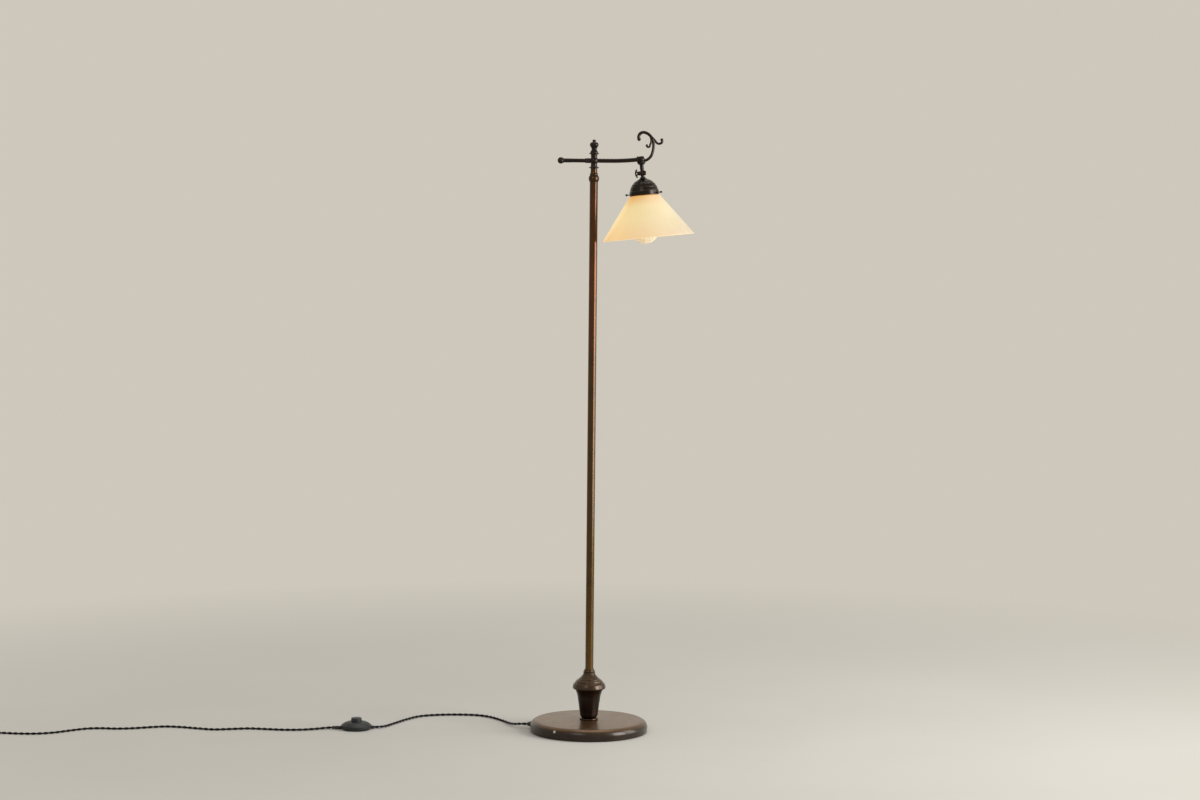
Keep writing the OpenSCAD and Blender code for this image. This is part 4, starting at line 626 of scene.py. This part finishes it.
spring_path = [spring_point(i / SPRING_RINGS) for i in range(SPRING_RINGS * SPRING_TURNS + 1)]
wire = tube_parts(spring_path, SPRING_WIRE, WIRE_SIDES, 0)
button_spring = add_mesh("button_spring", wire[0], wire[1], material=materials["steel"].material)
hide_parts("switch_spring")
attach(button_spring, "stand")
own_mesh(button_spring)


# ---- Strap round the coil ----

STRAP_ANGLE = math.radians(20)
STRAP_W = 0.008
STRAP_T = 0.0007

# The strap's inner face from the middle of a turn of cord, and how much higher its lap lies
STRAP_IN = 0.0031
STRAP_LAP = 0.00078

# Where the strap starts to rise on to itself and over what stretch it does, as shares of
# the points along it
LAP_FROM = 0.66
LAP_RISE = 0.16

# The coil's turns in the order in which the strap goes round them, and the share of a turn
# at which the coil passes the strap's angle
STRAP_TURNS = (3, 2, 1, 0, 4, 3, 2)
STRAP_SHARE = 250 / 360
STRAP_CORNER_STEPS = 8

# Its section, as shares of its width and thickness
STRAP_SECTION = ((-0.46, 0.0), (0.46, 0.0), (0.5, 0.5), (0.46, 1.0), (-0.46, 1.0), (-0.5, 0.5))


def strap_rail(cuts):
    """(radius, height, direction outwards) along a band drawn tight round those points."""
    rail = []
    for (r0, z0), (r1, z1) in zip(cuts, cuts[1:]):
        outwards = math.atan2(r0 - r1, z1 - z0)
        if rail:
            last = rail[-1][2]
            turn = (outwards - last) % TURN
            rail += [(r0, z0, last + turn * j / STRAP_CORNER_STEPS)
                     for j in range(1, STRAP_CORNER_STEPS + 1)]
        else:
            rail.append((r0, z0, outwards))
        rail.append((r1, z1, rail[-1][2]))
    return rail


def strap_rings():
    """The strap, drawn tight round the turns, with its end lapped over itself on top."""
    middle = Vector((*COIL_AT, 0))
    out = Vector((math.cos(STRAP_ANGLE), math.sin(STRAP_ANGLE), 0))
    side = Vector((-math.sin(STRAP_ANGLE), math.cos(STRAP_ANGLE), 0))
    cuts = [coil_point(k + STRAP_SHARE) - middle for k in STRAP_TURNS]
    rail = strap_rail([(cut.dot(out), cut.z) for cut in cuts])
    rings = []
    for i, (r, z, a) in enumerate(rail):
        lap = clamp((i / (len(rail) - 1) - LAP_FROM) / LAP_RISE)
        ring = []
        for across, up in STRAP_SECTION:
            reach = STRAP_IN + STRAP_LAP * lap + STRAP_T * up
            ring.append(middle + (r + reach * math.cos(a)) * out + across * STRAP_W * side
                        + Vector((0, 0, z + reach * math.sin(a))))
        rings.append(ring)
    return rings


cord_strap = loft("cord_strap", strap_rings(), materials["rubber"].material)
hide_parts("coil_tie")
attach(cord_strap, "stand")


# ---- Plug ----

PLUG_W = 0.024
PLUG_H = 0.013
PLUG_L = 0.046
PLUG_SIDES = 48

# How square the body's section is: 2 is round
PLUG_CORNER = 4.6

# The tapered sleeve and its ribs
PLUG_MOUTH_R = 0.0030
SLEEVE_FROM = 0.0004
SLEEVE_L = 0.0176
SLEEVE_R = 0.0036
SLEEVE_TAPER = 0.0014
RIB_PITCH = 0.003
RIB_DEPTH = 0.0005
RIBS_FROM = 0.002
RIBS_TO = 0.0165
SLEEVE_RINGS = 40

# The shoulder between sleeve and body, then the body with its grip and its rounded end
SHOULDER_L = 0.004
SHOULDER_RINGS = 8
BODY_FROM = 0.0225
BODY_L = 0.0225
BODY_RINGS = 48
GRIP_FROM = 0.026
GRIP_TO = 0.0390
GRIP_PITCH = 0.0026
GRIP_DEPTH = 0.0008
END_ROUND = 0.0010
END_FACE = 0.0016


def plug_ring(along, half_w, half_h, power):
    """Points round the plug that far along it, from round to a rounded rectangle."""
    ring = []
    for k in range(PLUG_SIDES):
        a = TURN * k / PLUG_SIDES
        c, d = math.cos(a), math.sin(a)
        ring.append(plug_run[-1] + Vector((half_w * math.copysign(abs(c) ** (2 / power), c), along,
                                           -half_h * math.copysign(abs(d) ** (2 / power), d))))
    return ring


def sleeve_ring(share):
    """A ring of the plug's tapered sleeve, narrower between its ribs."""
    along = SLEEVE_FROM + SLEEVE_L * share
    ribbed = RIBS_FROM < along < RIBS_TO
    groove = RIB_DEPTH * max(0.0, math.cos(TURN * along / RIB_PITCH)) ** 2 if ribbed else 0
    r = SLEEVE_R + SLEEVE_TAPER * share - groove
    return plug_ring(along, r, r, 2)


def shoulder_ring(share):
    """A ring between the round sleeve and the body, along a quarter of an ellipse."""
    sleeve_end = SLEEVE_R + SLEEVE_TAPER
    rise = math.sin(share * math.pi / 2)
    along = SLEEVE_FROM + SLEEVE_L + SHOULDER_L * (1 - math.cos(share * math.pi / 2))
    return plug_ring(along, sleeve_end + (PLUG_W / 2 - sleeve_end) * rise,
                     sleeve_end + (PLUG_H / 2 - sleeve_end) * rise, 2 + (PLUG_CORNER - 2) * share)


def body_ring(share):
    """A ring of the plug's body, narrower in the grooves of its grip."""
    along = BODY_FROM + BODY_L * share
    gripped = GRIP_FROM < along < GRIP_TO
    grip = 0.5 - 0.5 * math.cos(TURN * (along - GRIP_FROM) / GRIP_PITCH) if gripped else 0
    return plug_ring(along, PLUG_W / 2 - GRIP_DEPTH * grip, PLUG_H / 2, PLUG_CORNER)


def plug_rings():
    """The plug from the cord to its face."""
    rings = [plug_ring(0, PLUG_MOUTH_R, PLUG_MOUTH_R, 2)]
    rings += [sleeve_ring(i / SLEEVE_RINGS) for i in range(SLEEVE_RINGS + 1)]
    rings += [shoulder_ring(i / SHOULDER_RINGS) for i in range(1, SHOULDER_RINGS + 1)]
    rings += [body_ring(i / BODY_RINGS) for i in range(BODY_RINGS + 1)]
    for t in (0.3, 0.6, 0.85, 1.0):
        along = PLUG_L - END_ROUND + END_ROUND * math.sin(t * math.pi / 2)
        cut = END_ROUND * t * t
        rings.append(plug_ring(along, PLUG_W / 2 - cut, PLUG_H / 2 - cut, PLUG_CORNER))
    rings.append(plug_ring(PLUG_L, PLUG_W / 2 - END_FACE, PLUG_H / 2 - END_FACE, PLUG_CORNER))
    return rings


plug = loft("plug", plug_rings(), materials["black_plastic"].material)
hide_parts("plug_body")
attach(plug, "stand")


# ---- Bulb ----

BULB_TIP = 0.184
BULB_R = 0.030
BULB_GLASS = 0.0008
BULB_SIDES = 72
BULB_RINGS = 40
GLASS_FOOT = 0.1011
FOOT_R = 0.0122

# The angle past the bulb's widest place at which its neck starts
NECK_ANGLE = math.radians(35)
NECK_RINGS = 16

# The bulb's lean from the head's axis, and the place on that axis about which it leans
LEAN = math.radians(3)
LEAN_AT = 0.0502

# The glass mount: its height, and its outline as radius and height over its foot
MOUNT_H = 0.034
MOUNT_GAP = 0.0001
MOUNT_SIDES = 32
MOUNT_OUTLINE = ((0, 0), (0.01135, 0), (0.01135, 0.001), (0.0085, 0.003), (0.0058, 0.006),
                 (0.0042, 0.010), (0.0033, 0.015), (0.0027, 0.022), (0.0024, MOUNT_H - 0.003),
                 (0.0031, MOUNT_H - 0.001), (0.0026, MOUNT_H), (0, MOUNT_H + 0.0006))

# The filament: a helix between its two lead wires, level with their ends
FILAMENT_W = 0.013
FILAMENT_Z = -GLASS_FOOT - MOUNT_H - 0.0148
FILAMENT_WIRE = 0.00016
FILAMENT_SIDES = 6
FILAMENT_TURNS = 26
HELIX_R = 0.00075
HELIX_RINGS = 12
SAG = 0.0016
LEAD_WIRE = 0.00034

head_frame = Matrix.Translation(HEAD_AT) @ Matrix.Rotation(-HEAD_TILT, 4, "Y")
lampholder = (head_frame @ Matrix.Translation((0, 0, -LEAN_AT)) @ Matrix.Rotation(LEAN, 4, "Y")
              @ Matrix.Translation((0, 0, LEAN_AT)))


def lathe_parts(profile, sides, first):
    """Vertices and faces of a turned form; profile has (radius, height) from one pole on."""
    vertices, faces, rings = [], [], []
    for radius, height in profile:
        start = first + len(vertices)
        if radius < 1e-6:
            vertices.append(Vector((0, 0, height)))
            rings.append([start] * sides)
            continue
        rings.append([start + k for k in range(sides)])
        vertices += [polar((0, 0), radius, TURN * k / sides, height) for k in range(sides)]
    for low, high in zip(rings, rings[1:]):
        for k in range(sides):
            corners = [low[k], low[(k + 1) % sides], high[(k + 1) % sides], high[k]]
            faces.append(tuple(dict.fromkeys(corners)))
    return vertices, [f for f in faces if len(f) > 2]


def assemble(name, groups, matrix):
    """One mesh from groups of (maker of vertices and faces, material), placed by matrix."""
    vertices, faces, marks = [], [], []
    for group, (maker, _) in enumerate(groups):
        part = maker(len(vertices))
        vertices += part[0]
        faces += part[1]
        marks += [group] * len(part[1])
    piece = add_mesh(name, [matrix @ v for v in vertices], faces)
    for _, material in groups:
        piece.data.materials.append(material)
    piece.data.polygons.foreach_set("material_index", marks)
    return piece


def bulb_profile(inset):
    """The bulb's outline from its tip to its foot, as in the model."""
    radius = BULB_R - inset
    middle = BULB_TIP - BULB_R
    out = [(0.0, -(middle + radius))]
    for i in range(1, BULB_RINGS + 1):
        a = math.pi / 2 - (math.pi / 2 + NECK_ANGLE) * i / BULB_RINGS
        out.append((radius * math.cos(a), -(middle + radius * math.sin(a))))
    x0, x1 = FOOT_R - inset, radius * math.cos(NECK_ANGLE)
    z1 = middle - radius * math.sin(NECK_ANGLE)
    for i in range(1, NECK_RINGS + 1):
        t = i / NECK_RINGS
        out.append((x0 + (x1 - x0) * (1 - t) ** 2, -(z1 + (GLASS_FOOT - z1) * t)))
    return out


def bulb_shell(first):
    return lathe_parts(bulb_profile(0) + bulb_profile(BULB_GLASS)[::-1], BULB_SIDES, first)


def mount(first):
    """The glass mount that stands in the bulb's foot and carries the wires."""
    foot = GLASS_FOOT + MOUNT_GAP
    outline = [(radius, -foot - height) for radius, height in MOUNT_OUTLINE]
    return lathe_parts(outline, MOUNT_SIDES, first)


def wires(first):
    """Two lead wires to the filament's ends and two hooks that hold its middle."""
    top = -GLASS_FOOT - MOUNT_H
    vertices, faces = [], []
    for side in (-1, 1):
        lead = [(side * 0.0012, 0, top + 0.004), (side * 0.0022, 0, top - 0.002),
                (side * 0.0068, 0, top - 0.007), (side * FILAMENT_W, 0, FILAMENT_Z)]
        hook = [(side * 0.0006, 0.0004, top + 0.003), (side * 0.0016, 0.0006, top - 0.004),
                (side * 0.0040, 0.0008, top - 0.010), (side * 0.0046, 0.0, FILAMENT_Z - 0.0004)]
        for run in (lead, hook):
            path = smooth(run, step=0.001)
            part = tube_parts(path, LEAD_WIRE, WIRE_SIDES, first + len(vertices))
            vertices += part[0]
            faces += part[1]
    return vertices, faces


def filament(first):
    """A fine helix that sags a little between the lead wires and the hooks."""
    points = []
    for i in range(FILAMENT_TURNS * HELIX_RINGS + 1):
        t = i / (FILAMENT_TURNS * HELIX_RINGS)
        a = TURN * FILAMENT_TURNS * t
        sag = SAG * math.sin(math.pi * 3 * t) ** 2
        points.append(Vector((FILAMENT_W * (2 * t - 1), HELIX_R * math.cos(a),
                              FILAMENT_Z - sag + HELIX_R * math.sin(a))))
    return tube_parts(points, FILAMENT_WIRE, FILAMENT_SIDES, first)[:2]


bulb = assemble("bulb", [(bulb_shell, materials["clear_glass"].material)], lampholder)
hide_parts("bulb_glass")
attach(bulb, "head")
bulb_works = assemble("bulb_works", [
    (mount, materials["clear_glass"].material), (wires, materials["steel"].material),
    (filament, make_filament().material)], lampholder)
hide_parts("bulb_filament")
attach(bulb_works, "head")


# ---- Floor, light and background ----

BACKDROP = srgb(206, 200, 188)
DAYLIGHT = (0.94, 0.97, 1.0)
SKY_STRENGTH = 0.40

# Half the floor's width, and the distance from the lamp of which its fading takes shares
FLOOR_HALF = 40
FADE_REACH = 5.0


def seen(tree):
    """1 for what the camera sees, directly, in metal or through glass, and 0 for other light."""
    rays = [tree.add("ShaderNodeLightPath", output=kind)
            for kind in ("Is Camera Ray", "Is Glossy Ray", "Is Transmission Ray")]
    return tree.math("MAXIMUM", tree.math("MAXIMUM", rays[0], rays[1]), rays[2])


def make_ground():
    """The floor: it takes light and shadow near the lamp and fades into the backdrop."""
    s = Surface("floor", Roughness=0.7, Specular_IOR_Level=0.2)
    s.feed("Base Color", s.ramp(s.noise(1.3, 4), [(0.3, srgb(204, 197, 185)),
                                                  (0.7, srgb(208, 203, 192))]))
    s.bump(s.noise(180, 5, 0.7), 0.0004, 0.3)
    reach = s.measure("LENGTH", s.place())
    away = s.ramp(s.math("DIVIDE", reach, FADE_REACH), [(0.10, 0.0), (0.50, 1.0)])
    glow = s.add("ShaderNodeEmission", {"Color": BACKDROP, "Strength": 1.0})
    mixed = s.add("ShaderNodeMixShader", {0: s.math("MULTIPLY", away, seen(s)),
                                          1: s.shader.outputs[0], 2: glow})
    s.links.new(mixed, s.nodes["Material Output"].inputs["Surface"])
    return s


def make_world():
    """Soft daylight on the lamp, and the plain backdrop where the camera sees past it."""
    world = bpy.data.worlds.new("studio")
    bpy.context.scene.world = world
    sky = Tree(world)
    soft = sky.nodes["Background"]
    soft.inputs["Color"].default_value = (*DAYLIGHT, 1)
    soft.inputs["Strength"].default_value = SKY_STRENGTH
    plain = sky.add("ShaderNodeBackground", {"Color": BACKDROP})
    blend = sky.add("ShaderNodeMixShader", {0: seen(sky), 1: soft.outputs[0], 2: plain})
    sky.links.new(blend, sky.nodes["World Output"].inputs["Surface"])


def softbox(name, at, aim, width, height, power, colour):
    """A rectangular lamp at that place, turned to its aim and hidden from the camera."""
    lamp = bpy.data.objects.new(name, bpy.data.lights.new(name, "AREA"))
    lamp.data.shape = "RECTANGLE"
    lamp.data.size = width
    lamp.data.size_y = height
    lamp.data.energy = power
    lamp.data.color = colour
    turned = (Vector(aim) - Vector(at)).to_track_quat("-Z", "Y").to_matrix().to_4x4()
    lamp.matrix_world = Matrix.Translation(at) @ turned
    lamp.visible_camera = False
    bpy.context.scene.collection.objects.link(lamp)


corners = [(x * FLOOR_HALF, y * FLOOR_HALF, 0) for x, y in ((-1, -1), (1, -1), (1, 1), (-1, 1))]
floor = add_mesh("floor", corners, [(0, 1, 2, 3)], material=make_ground().material)

make_world()
softbox("window_right", (3.0, -1.5, 1.3), (0, 0, 0.9), 1.5, 2.5, 118, DAYLIGHT)
softbox("window_back", (3.1, 0.1, 1.3), (0, 0, 0.9), 1.2, 2.5, 42, DAYLIGHT)
softbox("fill_front", (-1.6, -3.6, 3.0), (0, 0, 0.7), 1.6, 1.6, 22, (1.0, 0.98, 0.95))
softbox("top", (0.3, 0.8, 4.0), (0, 0, 0.5), 2.2, 2.2, 24, (1.0, 0.99, 0.97))

bpy.context.scene.view_settings.view_transform = "Standard"
